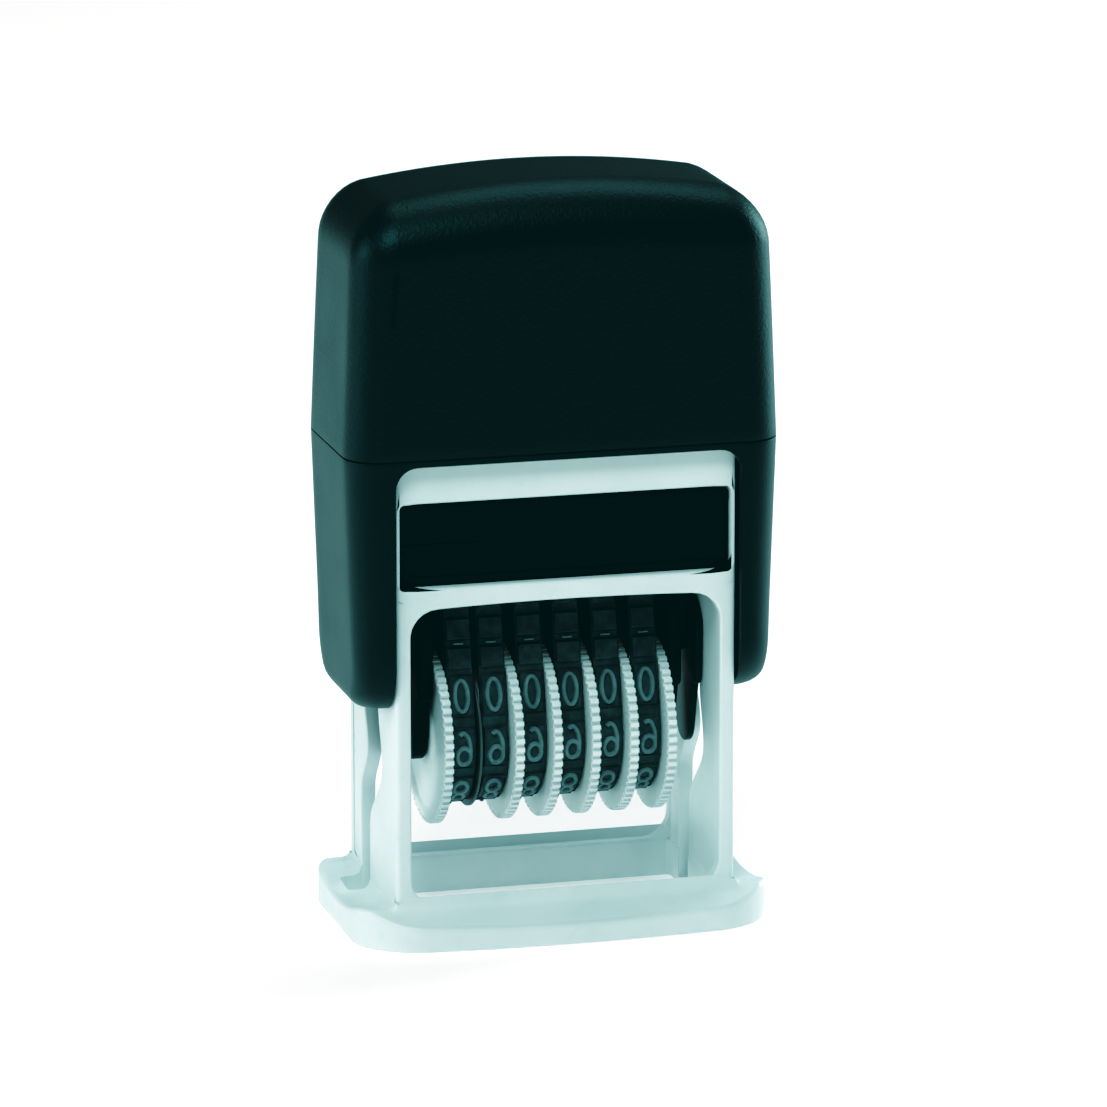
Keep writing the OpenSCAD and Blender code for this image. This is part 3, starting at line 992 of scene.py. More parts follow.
    def walls(self) -> Mould:
        """The tube's walls: framed panels in front and behind, slotted panels at the sides, and corner strips."""
        mould = Mould("base_walls")
        inner_half = self.half_width - self.side_wall
        floor = 1.2
        lower = self.window_loops((inner_half - 0.04, (self.window_top - self.foot_top) / 2 + 0.01), 3.0,
                                  (self.half_width, (self.bar_middle - floor) / 2),
                                  (self.window_top + self.foot_top) / 2 - 0.01,
                                  (self.bar_middle + floor) / 2, self.window_arch)
        upper = self.window_loops((self.pad_half, (self.pad_high - self.pad_low) / 2), 0.8,
                                  (self.half_width, (self.top - self.bar_middle) / 2),
                                  (self.pad_high + self.pad_low) / 2, (self.top + self.bar_middle) / 2, 0.0)
        for near, far in ((-self.half_depth, -self.half_depth + self.face_wall),
                          (self.half_depth - self.face_wall, self.half_depth)):
            for outer, inner in (lower, upper):
                self.face_panel(mould, outer, inner, near, far)
        outer, inner = self.side_loops()
        for side in (-1, 1):
            x = sorted((side * self.half_width, side * inner_half))
            mould.panel(outer, inner, x[0], x[1], Along.X, 0.0, 0.25, side_only=False)
            strip = sorted((side * (self.half_width - 0.08), side * inner_half))
            mould.block((strip[0], self.groove_at + 0.06, 0.6),
                        (strip[1], self.half_depth - self.face_wall + 0.05, self.top), 0.12)
        return mould

    def face_panel(self, mould: Mould, outer: Array, inner: Array, near: float, far: float) -> None:
        """Adds a front or back panel with its outer vertical edges rounded on the outside alone.

        Args:
            mould: the mould to add to.
            outer: loop of the panel.
            inner: loop of its window.
            near: lowest Y.
            far: highest Y.
        """
        edge, lip = 0.5, 0.3
        faces_front = near < 0
        face, back = (near, far) if faces_front else (far, near)
        way = math.copysign(1.0, back - face)
        on_side = np.abs(outer[:, :1]) > np.abs(outer[:, :1]).max() - 1e-4
        normal = np.where(on_side, np.sign(outer[:, :1]) * [1.0, 0.0], 0.0)
        into = outward(inner)
        phi = np.radians(np.linspace(0, 90, 5))
        rows = [outer]
        depth = [back]
        for angle in phi:
            rows.append(outer - normal * edge * (1 - math.cos(angle)))
            depth.append(face + way * edge * (1 - math.sin(angle)))
        start, end = rows[-1], inner + into * lip
        for share in np.linspace(0, 1, 6)[1:]:
            rows.append(start + (end - start) * share)
            depth.append(face)
        for angle in phi[::-1][1:]:
            rows.append(inner + into * lip * (1 - math.cos(angle)))
            depth.append(face + way * lip * (1 - math.sin(angle)))
        rows.append(inner)
        depth.append(back)
        stack = np.array(rows)
        mould.grid(Along.Y.place(stack[..., 0], stack[..., 1], np.array(depth)[:, None]), along=True)

    def inside(self) -> Mould:
        """Parts inside the tube: spring deck and boss, and ledges for the cartridge."""
        mould = Mould("base_inside")
        reach = self.half_depth - self.face_wall + 0.3
        mould.block((-14.8, -reach, 50.6), (14.8, reach, 52.0), 0.25)
        boss = rounded_corners([(0.001, 51.6), (4.2, 51.6), (4.2, 54.6), (0.001, 54.6)], 0.3)
        turn = np.linspace(0, 2 * np.pi, 48, endpoint=False)
        mould.grid(Along.Z.place(boss[:, :1] * np.cos(turn), WHEEL_AXIS[1] + boss[:, :1] * np.sin(turn), boss[:, 1:]),
                   lids=False, along=True)
        for side in (-1, 1):
            y = sorted((side * 7.2, side * reach))
            mould.block((-14.8, y[0], 38.9), (14.8, y[1], self.pad_low), 0.25)
        return mould

    def build(self, shop: Workshop) -> None:
        """Builds the foot, walls and inner parts.

        Args:
            shop: dresses and fixes the pieces.
        """
        foot = self.foot().cast(28)
        cutter = self.pockets()
        cut = foot.modifiers.new("pockets", "BOOLEAN")
        cut.operation, cut.object, cut.solver = "DIFFERENCE", cutter, "EXACT"
        mesh = bpy.data.meshes.new_from_object(foot.evaluated_get(bpy.context.evaluated_depsgraph_get()))
        foot.modifiers.clear()
        foot.data = mesh
        bpy.data.objects.remove(cutter)
        mesh.shade_smooth()
        mesh.set_sharp_from_angle(angle=math.radians(28))
        shop.fit(foot, FRAME_WHITE, "frame", "base_frame")
        shop.fit(self.walls().cast(28), FRAME_WHITE, "frame", "base_frame")
        shop.fit(self.inside().cast(28), FRAME_WHITE, "frame", "base_frame")


@dataclass
class Cartridge:
    """The ink cartridge: black tray, front plate with a shallow panel, and the felt pad."""

    border: float = 0.95
    step: float = 0.16

    def face(self) -> Mould:
        """Front plate: box loops drawn in step by step, from the rim over a bevel down to the sunk panel."""
        low, high = span("pad_cartridge")
        front, middle = low[1], 44.9
        half = (high[0], 4.55)
        section = [(0.3, 0.75), (0.0, 0.6), (0.0, 0.2), (0.05, 0.06), (0.2, 0.0), (self.border - 0.1, 0.0),
                   (self.border, 0.03), (self.border + 0.12, self.step), (self.border + 0.3, self.step)]
        turn = loop_angles(half, half, 120)
        rows = np.array([box_reach(turn, (half[0] - inset, half[1] - inset), max(0.5 - inset * 0.4, 0.1))
                         for inset, _ in section])
        depth = front + np.array([deep for _, deep in section])
        points = Along.Y.place(rows[..., 0], rows[..., 1] + middle, depth[:, None])
        return Mould("cartridge_face").grid(points)

    def tray(self) -> Mould:
        """Tray behind the plate: roof, side rails, front wall and a raised back wall."""
        low, high = span("pad_cartridge")
        mould = Mould("cartridge_tray")
        front, back, roof = -9.4, high[1], high[2]
        mould.block((-14.6, front, 46.0), (14.6, back, roof), 0.3)
        for side in (-1, 1):
            x = sorted((side * 13.6, side * 14.6))
            mould.block((x[0], front, low[2]), (x[1], back, 46.3), 0.2)
        mould.block((-14.6, front, low[2] + 0.05), (14.6, -5.9, 46.3), 0.25)
        mould.block((-14.6, 7.5, 41.62), (14.6, back, 46.3), 0.25)
        return mould

    def felt(self) -> Mould:
        """Felt pad: a block whose underside swells a little between rounded edges."""
        low, high = span("ink_pad")
        half = ((high[0] - low[0]) / 2, (high[1] - low[1]) / 2)
        turn = loop_angles(half, half, 120)
        scale = np.array([1.0, 1.0, 0.99, 0.97, 0.9, 0.75, 0.5, 0.25])
        height = np.array([high[2], low[2] + 0.7, low[2] + 0.3, low[2] + 0.14, low[2] + 0.08, low[2] + 0.05,
                           low[2] + 0.03, low[2] + 0.02])
        rows = np.array([box_reach(turn, (half[0] * s, half[1] * s), 1.0 * s) for s in scale])
        centre = (low[1] + high[1]) / 2
        return Mould("felt_pad").grid(Along.Z.place(rows[..., 0], rows[..., 1] + centre, height[:, None]))

    def build(self, shop: Workshop) -> None:
        """Builds the cartridge's pieces.

        Args:
            shop: dresses and fixes the pieces.
        """
        shop.fit(self.face().cast(25), CARTRIDGE_BLACK, "ink_cartridge", "pad_cartridge")
        shop.fit(self.tray().cast(28), CARTRIDGE_BLACK, "ink_cartridge", "pad_cartridge")
        shop.fit(self.felt().cast(40), PAD_FELT, "ink_cartridge", "ink_pad")


@dataclass
class Cap:
    """The cap: arched top, grained body above the seam, and two smooth arms beside the frame."""

    seam: float = 54.7
    shoulder_half: float = 23.45
    shoulder_at: float = 78.0
    arm_half: float = 23.35
    opening_half: float = 19.42
    opening_top: float = 54.0
    opening_corner: float = 2.5
    side_corner: float = 4.2
    arch: float = 111.0
    end_radius: float = 5.4
    face_radius: float = 6.6
    crown_radius: float = 6.0
    plan_corner: tuple[float, float] = (4.6, 4.4)
    back_ratio: float = 1.6
    arm_fillet: float = 6.0
    skin: float = 1.15
    half: tuple[float, float] = field(init=False)
    bottom: float = field(init=False)
    top: float = field(init=False)

    def __post_init__(self) -> None:
        """Reads the overall sizes from the frame."""
        low, high = span("cap_shell")
        self.half = (high[0], high[1])
        self.bottom, self.top = low[2], high[2]

    def section(self, height: Array) -> tuple[Array, Array, Array, Array]:
        """Half width, half depth and corner radii of the cap at a height.

        The width runs straight from the arm's end to the seam and from the seam to the shoulder. Near the arm's
        end, width and depth are drawn in by quarter ellipses, and the corner tightens to keep the opening's edge.
        Above the seam there is no opening beside the corner, so its radius is not limited there.

        Args:
            height: heights wanted.

        Returns:
            Half width, half depth, corner radius across and corner radius in depth.
        """
        wide = np.interp(height, [self.bottom, self.seam, self.shoulder_at],
                         [self.arm_half, self.half[0], self.shoulder_half])
        deep = np.interp(height, [self.bottom, self.seam, self.top],
                         [self.half[1], self.half[1], self.half[1] - 0.25])
        low_x = np.clip((self.bottom + 2.1 - height) / 2.1, 0, 1)
        low_y = np.clip((self.bottom + self.arm_fillet - height) / self.arm_fillet, 0, 1)
        wide = wide - 2.1 * (1 - np.sqrt(1 - low_x**2))
        deep = deep - self.arm_fillet * (1 - np.sqrt(1 - low_y**2))
        blend = np.clip((height - self.seam) / (self.crown_low() - self.seam), 0, 1) ** 2
        across = self.side_corner + (self.plan_corner[0] - self.side_corner) * blend
        in_depth = self.side_corner + (self.plan_corner[1] - self.side_corner) * blend
        room = np.where(height > self.seam, self.shoulder_half, wide - self.opening_half - 0.1)
        return wide, deep, np.minimum(across, room), np.minimum(in_depth, np.maximum(room, 1.5))

    def crown_low(self) -> float:
        """Height at which the crown's rounding starts."""
        return self.top - self.sag(self.shoulder_half - self.end_radius) - self.crown_radius

    def sag(self, x: Array | float) -> Array | float:
        """Drop of the top's arch below its middle at a distance across."""
        return self.arch - np.sqrt(self.arch**2 - np.square(x))

    def columns(self) -> tuple[Array, Array, Array]:
        """Columns round the cap, counter-clockwise from the middle of the front.

        Returns:
            Kind of each column (0 opening, 1 flank of the opening, 2 corner, 3 side), its share along its stretch,
            and the signs of its quarter as two numbers.
        """
        flat = self.opening_half - self.opening_corner
        rounded = flat + self.opening_corner * np.sin(np.radians(np.linspace(0, 90, 8)))[1:]
        opening = np.concatenate([np.linspace(0, flat, 14), rounded])
        quarter = [(0, x / self.opening_half) for x in opening]
        quarter += [(1, s) for s in np.linspace(0, 1, 4)[1:]]
        quarter += [(2, s) for s in np.linspace(0, 1, 11)[1:]]
        quarter += [(3, s) for s in np.linspace(0, 1, 7)[1:]]
        kinds = np.array([k for k, _ in quarter])
        shares = np.array([s for _, s in quarter])
        back = slice(None, None, -1)
        kind = np.concatenate([kinds, kinds[back][1:], kinds[1:], kinds[back][1:-1]])
        share = np.concatenate([shares, shares[back][1:], shares[1:], shares[back][1:-1]])
        n = len(kinds)
        sign_x = np.concatenate([np.ones(2 * n - 1), -np.ones(2 * n - 3)])
        sign_y = np.concatenate([-np.ones(n), np.ones(2 * n - 2), -np.ones(n - 2)])
        return kind, share, np.stack([sign_x, sign_y])

    def ring(self, wide: Array, deep: Array, across: Array, in_depth: Array, kind: Array, share: Array,
             sign: Array) -> tuple[Array, Array]:
        """Plan positions of every column on rings of given sizes.

        Opening and flank columns lie on the straight front, corner columns on a quarter ellipse (deeper at the
        back), side columns on the straight side; each is then mirrored into its quarter.

        Args:
            wide: half widths, one per ring.
            deep: half depths.
            across: corner radii across.
            in_depth: corner radii in depth.
            kind: kind of each column.
            share: share of each column.
            sign: signs of each column's quarter.

        Returns:
            X and Y, ring by column.
        """
        wide, deep, across, in_depth = (value[:, None] for value in (wide, deep, across, in_depth))
        in_depth = in_depth * np.where(sign[1] > 0, self.back_ratio, 1.0)
        edge = np.minimum(self.opening_half, wide - across)
        flank = edge + (wide - across - edge) * share
        turn = share * np.pi / 2
        x = np.select([kind == 0, kind == 1, kind == 2], [edge * share, flank, wide - across + across * np.sin(turn)],
                      wide)
        y = np.select([kind <= 1, kind == 2], [deep + 0 * share, deep - in_depth + in_depth * np.cos(turn)],
                      (deep - in_depth) * (1 - share))
        return x * sign[0], y * sign[1]

    def shell(self) -> bpy.types.Object:
        """The cap's outer skin as one grid, given its wall by Solidify and its rims by Bevel.

        Rows climb from the arms' ends to the seam, dip into the seam's groove, rise to the shoulder, go over the
        crown on quarter ellipses and close on the middle of the top. Rows below the opening's top have no faces
        between the flanks, and the last rows there start on the opening's arched edge.

        Returns:
            The cap's object.
        """
        kind, share, sign = self.columns()
        groove = 0.09
        corner_low = self.opening_top - self.opening_corner
        low = self.bottom + self.arm_fillet
        arms = np.concatenate([self.bottom + self.arm_fillet * (1 - np.cos(np.radians(np.linspace(0, 90, 16)))),
                               np.linspace(low, corner_low, 12)[1:]])
        strip = np.linspace(corner_low, self.seam - groove, 7)[1:]
        seam = np.array([self.seam, self.seam + groove])
        crown_low = self.crown_low()
        body = np.linspace(self.seam + groove, crown_low, 22)[1:]
        heights = np.concatenate([arms, strip, seam, body])
        wide, deep, across, in_depth = self.section(heights)
        dip = np.where(np.isclose(heights, self.seam), 0.16, 0.0)
        x, y = self.ring(wide - dip, deep - dip, across, in_depth, kind, share, sign)
        z = np.repeat(heights[:, None], len(kind), axis=1)
        across_x = np.where(kind == 0, share * self.opening_half, self.opening_half)
        tuck = np.clip(across_x - (self.opening_half - self.opening_corner), 0, self.opening_corner)
        edge_z = self.opening_top - (self.opening_corner - np.sqrt(self.opening_corner**2 - tuck**2))
        rows = slice(len(arms) - 1, len(arms) + len(strip))
        climb = np.linspace(0, 1, len(strip) + 1)[:, None]
        z[rows] = np.where(kind == 0, edge_z + (self.seam - groove - edge_z) * climb, z[rows])
        phi = np.radians(np.linspace(0, 90, 12))[1:]
        ones = np.ones(len(phi))
        wide, deep = wide[-1] * ones, deep[-1] * ones
        across, in_depth = across[-1] * ones, in_depth[-1] * ones
        shrink = 1 - np.cos(phi)
        cx, cy = self.ring(wide - self.end_radius * shrink, deep - self.face_radius * shrink,
                           across * np.cos(phi), in_depth * np.cos(phi), kind, share, sign)
        cz = np.repeat((crown_low + self.crown_radius * np.sin(phi))[:, None], len(kind), axis=1)
        scale = np.linspace(1, 0.04, 12)[1:, None]
        x = np.concatenate([x, cx, cx[-1:] * scale])
        y = np.concatenate([y, cy, cy[-1:] * scale])
        z = np.concatenate([z, cz, np.repeat(cz[-1:], len(scale), axis=0)])
        lift = np.clip((z - 60) / (crown_low + self.crown_radius - 60), 0, 1) ** 2
        z = z + lift * (self.top - crown_low - self.crown_radius - self.sag(x))
        return self.close(np.stack([x, y, z], axis=-1), kind, len(arms) - 1)

    def close(self, points: Array, kind: Array, open_rows: int) -> bpy.types.Object:
        """Turns the grid into a mesh, leaving the openings out, and finishes it with modifiers.

        Args:
            points: rows by columns by three, in millimetres.
            kind: kind of each column.
            open_rows: number of rows, from the bottom, without faces between the flanks.

        Returns:
            The cap's object.
        """
        rows, cols = points.shape[:2]
        index = np.arange(rows * cols).reshape(rows, cols)
        index = np.concatenate([index, index[:, :1]], axis=1)
        quads = np.stack([index[:-1, :-1], index[:-1, 1:], index[1:, 1:], index[1:, :-1]], axis=-1)
        wrapped = np.concatenate([kind, kind[:1]])
        in_opening = (wrapped[:-1] == 0) & (wrapped[1:] == 0)
        keep = ~(in_opening[None, :] & (np.arange(rows - 1)[:, None] < open_rows))
        quads = quads[keep]
        middle = rows * cols
        last = index[-1]
        fan = np.stack([last[:-1], last[1:], np.full(cols, middle)], axis=1)
        flat = np.concatenate([points.reshape(-1, 3), points[-1].mean(axis=0, keepdims=True)])
        used = np.unique(np.concatenate([quads.ravel(), fan.ravel()]))
        renumber = np.zeros(len(flat), dtype=int)
        renumber[used] = np.arange(len(used))
        mesh = bpy.data.meshes.new("cap_skin")
        mesh.from_pydata((flat[used] * MM).tolist(), [], renumber[quads].tolist() + renumber[fan].tolist())
        mesh.shade_smooth()
        cap = bpy.data.objects.new("cap_skin", mesh)
        bpy.context.collection.objects.link(cap)
        wall = cap.modifiers.new("wall", "SOLIDIFY")
        wall.thickness, wall.offset, wall.use_even_offset = self.skin * MM, -1.0, True
        rim = cap.modifiers.new("rim", "BEVEL")
        rim.width, rim.segments, rim.limit_method, rim.angle_limit = 0.22 * MM, 3, "ANGLE", math.radians(50)
        rim.harden_normals = False
        return cap

    def ribs(self) -> Mould:
        """Guide ribs in the arms and posts under the crown."""
        mould = Mould("cap_ribs")
        for side in (-1, 1):
            x = sorted((side * 19.5, side * 22.4))
            for y in (-7.0, 7.0):
                mould.block((x[0], y - 0.6, self.bottom + 4), (x[1], y + 0.6, self.seam + 6), 0.2)
            turn = np.linspace(0, 2 * np.pi, 40, endpoint=False)
            post = np.array([[1.9, 81.4], [2.2, 81.6], [2.2, 82.9], [2.0, 83.0]])
            mould.grid(Along.Z.place(side * 11 + post[:, :1] * np.cos(turn), PIVOT[1] + post[:, :1] * np.sin(turn),
                                     post[:, 1:]))
        return mould

    def build(self, shop: Workshop) -> None:
        """Builds the cap's pieces.

        Args:
            shop: dresses and fixes the pieces.
        """
        shop.fit(self.shell(), CAP_BLACK, "cap", "cap_shell")
        shop.fit(self.ribs().cast(30), CAP_BLACK, "cap", "cap_shell")


@dataclass
class Drive:
    """What the cap carries inside: the yoke and the return spring."""

    leg_in: float = 15.1
    leg_out: float = 16.4
    bridge_low: float = 80.2
    bridge_high: float = 81.4
    spring_radius: float = 5.0
    wire: float = 0.8
    turns: int = 7
    deck: float = 52.0
    travel: float = 21.4

    def yoke(self) -> Mould:
        """Two legs with eyes for the pivot, and the bridge with the spring's boss."""
        mould = Mould("drive_yoke_body")
        y, z = PIVOT[1], PIVOT[2]
        rise = np.linspace(0, 1, 24)[1:-1]
        bottom = arc((y, z), 3.0, 180, 360, 24)
        outer = np.concatenate([bottom, np.stack([np.full(22, y + 3.0), z + (self.bridge_high - z) * rise], axis=1),
                                np.stack([y + 3 - 6 * np.linspace(0, 1, 12), np.full(12, self.bridge_high)], axis=1),
                                np.stack([np.full(22, y - 3.0),
                                          self.bridge_high + (z - self.bridge_high) * rise], axis=1)])
        turn = np.linspace(np.pi, 3 * np.pi, len(outer), endpoint=False)
        eye = np.array([y, z]) + 1.55 * np.stack([np.cos(turn), np.sin(turn)], axis=1)
        for side in (-1, 1):
            x = sorted((side * self.leg_in, side * self.leg_out))
            mould.panel(outer, eye, x[0], x[1], Along.X, 0.25, 0.15, side_only=False)
        mould.block((-self.leg_out, y - 2.98, self.bridge_low),
                    (self.leg_out, y + 2.98, self.bridge_high - 0.01), 0.25)
        around = np.linspace(0, 2 * np.pi, 56, endpoint=False)
        boss = np.array([[3.6, 78.6], [4.2, 79.1], [4.2, 80.1], [5.8, 80.2], [6.0, 80.4], [6.0, 81.2], [5.8, 81.38]])
        mould.grid(Along.Z.place(boss[:, :1] * np.cos(around), y + boss[:, :1] * np.sin(around), boss[:, 1:]))
        return mould

    def spring(self) -> Mould:
        """Return spring: a helix whose first and last turns close up, swept by the wire's circle."""
        share = np.linspace(0, 1, self.turns * 40 + 1)
        turn = 2 * np.pi * self.turns * share
        low, high = self.deck + self.wire / 2, self.bridge_low - self.wire / 2
        rise = np.interp(share, [0, 1 / self.turns, 1 - 1 / self.turns, 1],
                         [low, low + self.wire * 1.02, high - self.wire * 1.02, high])
        path = np.stack([self.spring_radius * np.cos(turn), PIVOT[1] + self.spring_radius * np.sin(turn), rise],
                        axis=1)
        return Mould("return_spring_coil").tube(path, self.wire / 2, 12)

    def build(self, shop: Workshop) -> None:
        """Builds the yoke and spring.

        Args:
            shop: dresses and fixes the pieces.
        """
        shop.fit(self.yoke().cast(30), YOKE_BLACK, "cap", "drive_yoke")
        spring = self.spring().cast(60)
        shop.fit(spring, SPRING_STEEL, "cap", "return_spring")
        PIVOT[1] * MM
        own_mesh(spring)


@dataclass
class BandPath:
    """The closed path of a number band: round the wheel, straight up to the anvil and over its two edges."""

    cord: float = 7.36
    rise: float = 18.84
    edge_half: float = 1.7
    edge_r: float = 1.3
    stations: int = 12
    lean: float = field(init=False)
    flat: float = field(init=False)
    bend: float = field(init=False)
    straight: float = field(init=False)
    length: float = field(init=False)

    def __post_init__(self) -> None:
        """Works out the tangent line between wheel and anvil edge, and the lengths of the stretches."""
        reach = math.hypot(self.edge_half, self.rise)
        self.lean = math.atan2(self.rise, self.edge_half) - math.acos((self.cord - self.edge_r) / reach)
        self.flat = self.edge_half
        self.bend = self.edge_r * (math.pi / 2 - self.lean)
        self.straight = math.sqrt(reach**2 - (self.cord - self.edge_r) ** 2)
        wheel = self.cord * (math.pi / 2 + self.lean)
        self.length = 2 * (self.flat + self.bend + self.straight + wheel)

    @property
    def pitch(self) -> float:
        """Distance between characters along the band."""
        return self.length / self.stations

    def place(self, along: Array, x: Array, height: Array) -> Array:
        """Carries points from the band's own space into the stamp.

        The distance along the band gives a point of the cord line and its outward normal, stretch by stretch; the
        back half mirrors the front half. The point is then moved out along the normal.

        Args:
            along: distance from the middle of the print face, growing towards the front.
            x: X of each point.
            height: height over the cord line.

        Returns:
            Points in the stamp's frame.
        """
        along, x, height = np.broadcast_arrays(along, x, height)
        wrapped = (along + self.length / 2) % self.length - self.length / 2
        back = np.sign(wrapped) + (wrapped == 0)
        s = np.abs(wrapped)
        past_flat = s - self.flat
        past_bend = past_flat - self.bend
        past_straight = past_bend - self.straight
        bend_turn = np.clip(past_flat / self.edge_r, 0, math.pi / 2 - self.lean)
        turn = bend_turn + np.maximum(past_straight, 0) / self.cord
        ny, nz = -np.sin(turn), np.cos(turn)
        on_wheel = past_straight > 0
        centre_y = np.where(on_wheel, 0.0, -np.minimum(s, self.edge_half))
        centre_z = np.where(on_wheel, 0.0, self.rise)
        radius = np.where(on_wheel, self.cord, self.edge_r)
        run = np.where(on_wheel, 0.0, np.maximum(past_bend, 0))
        y = centre_y + ny * (radius + height) - run * math.sin(self.lean)
        z = centre_z + nz * (radius + height) - run * math.cos(self.lean)
        return np.stack([x, WHEEL_AXIS[1] + y * back, WHEEL_AXIS[2] + z], axis=-1)


class Sign(Enum):
    """What stands at a station of a number band."""

    ZERO = "0"
    ONE = "1"
    TWO = "2"
    THREE = "3"
    FOUR = "4"
    FIVE = "5"
    SIX = "6"
    SEVEN = "7"
    EIGHT = "8"
    NINE = "9"
    DASH = "-"
    BLANK = " "


@dataclass
class Lettering:
    """Plain digits drawn as strokes in a box that is two units wide and four high, about its middle."""

    scale_x: float = 0.74
    scale_y: float = 0.86
    stroke: float = 0.46

    def bow(self, cx: float, cy: float, rx: float, ry: float, start: float, end: float, steps: int = 18) -> Array:
        """Points on an ellipse.

        Args:
            cx: centre across.
            cy: centre up.
            rx: radius across.
            ry: radius up.
            start: first angle in degrees.
            end: last angle in degrees.
            steps: number of steps.

        Returns:
            Array of points.
        """
        turn = np.radians(np.linspace(start, end, steps + 1))
        return np.stack([cx + rx * np.cos(turn), cy + ry * np.sin(turn)], axis=1)

    def strokes(self, sign: Sign) -> list[tuple[Array, bool]]:
        """Strokes of a digit: open curves and closed rings.

        Args:
            sign: the digit.

        Returns:
            Points of each stroke and whether it closes on itself.
        """
        bow = self.bow
        line = lambda *points: np.array(points, dtype=float)
        lower = bow(0, -0.95, 1, 1.05, 0, 360, 30)[:-1]
        shapes: dict[Sign, list[tuple[Array, bool]]] = {
            Sign.ZERO: [(bow(0, 0, 1, 2, 0, 360, 40)[:-1], True)],
            Sign.ONE: [(line((-0.6, 1.25), (0.1, 2.0), (0.1, 0.6), (0.1, -0.8), (0.1, -2.0)), False)],
            Sign.TWO: [(np.concatenate([bow(0, 1.0, 0.95, 1.0, 165, -35), line((-0.1, -1.0), (-0.95, -1.95)),
                                        line((0.0, -1.95), (1.0, -1.95))]), False)],
            Sign.THREE: [(np.concatenate([bow(0, 1.05, 0.85, 0.95, 150, -80), bow(0, -0.95, 1.0, 1.05, 80, -150)]),
                          False)],
            Sign.FOUR: [(line((0.45, -2.0), (0.45, 0.0), (0.45, 2.0), (-0.95, -0.8), (0.0, -0.8), (1.0, -0.8)), False)],
            Sign.FIVE: [(np.concatenate([line((0.85, 1.95), (-0.7, 1.95), (-0.85, 0.25)),
                                         bow(0, -0.75, 1.0, 1.2, 140, -150)]), False)],
            Sign.SIX: [(lower, True), (bow(0.05, -0.3, 1.05, 2.25, 60, 185, 20), False)],
            Sign.SEVEN: [(line((-0.95, 1.95), (0.0, 1.95), (0.95, 1.95), (0.3, 0.2), (-0.25, -2.0)), False)],
            Sign.EIGHT: [(lower, True), (bow(0, 1.08, 0.85, 0.92, 0, 360, 30)[:-1], True)],
            Sign.NINE: [(-lower, True), (-bow(0.05, -0.3, 1.05, 2.25, 60, 185, 20), False)],
            Sign.DASH: [(line((-0.75, 0), (0, 0), (0.75, 0)), False)],
            Sign.BLANK: [],
        }
        return [(points * [self.scale_x, self.scale_y], closed) for points, closed in shapes[sign]]


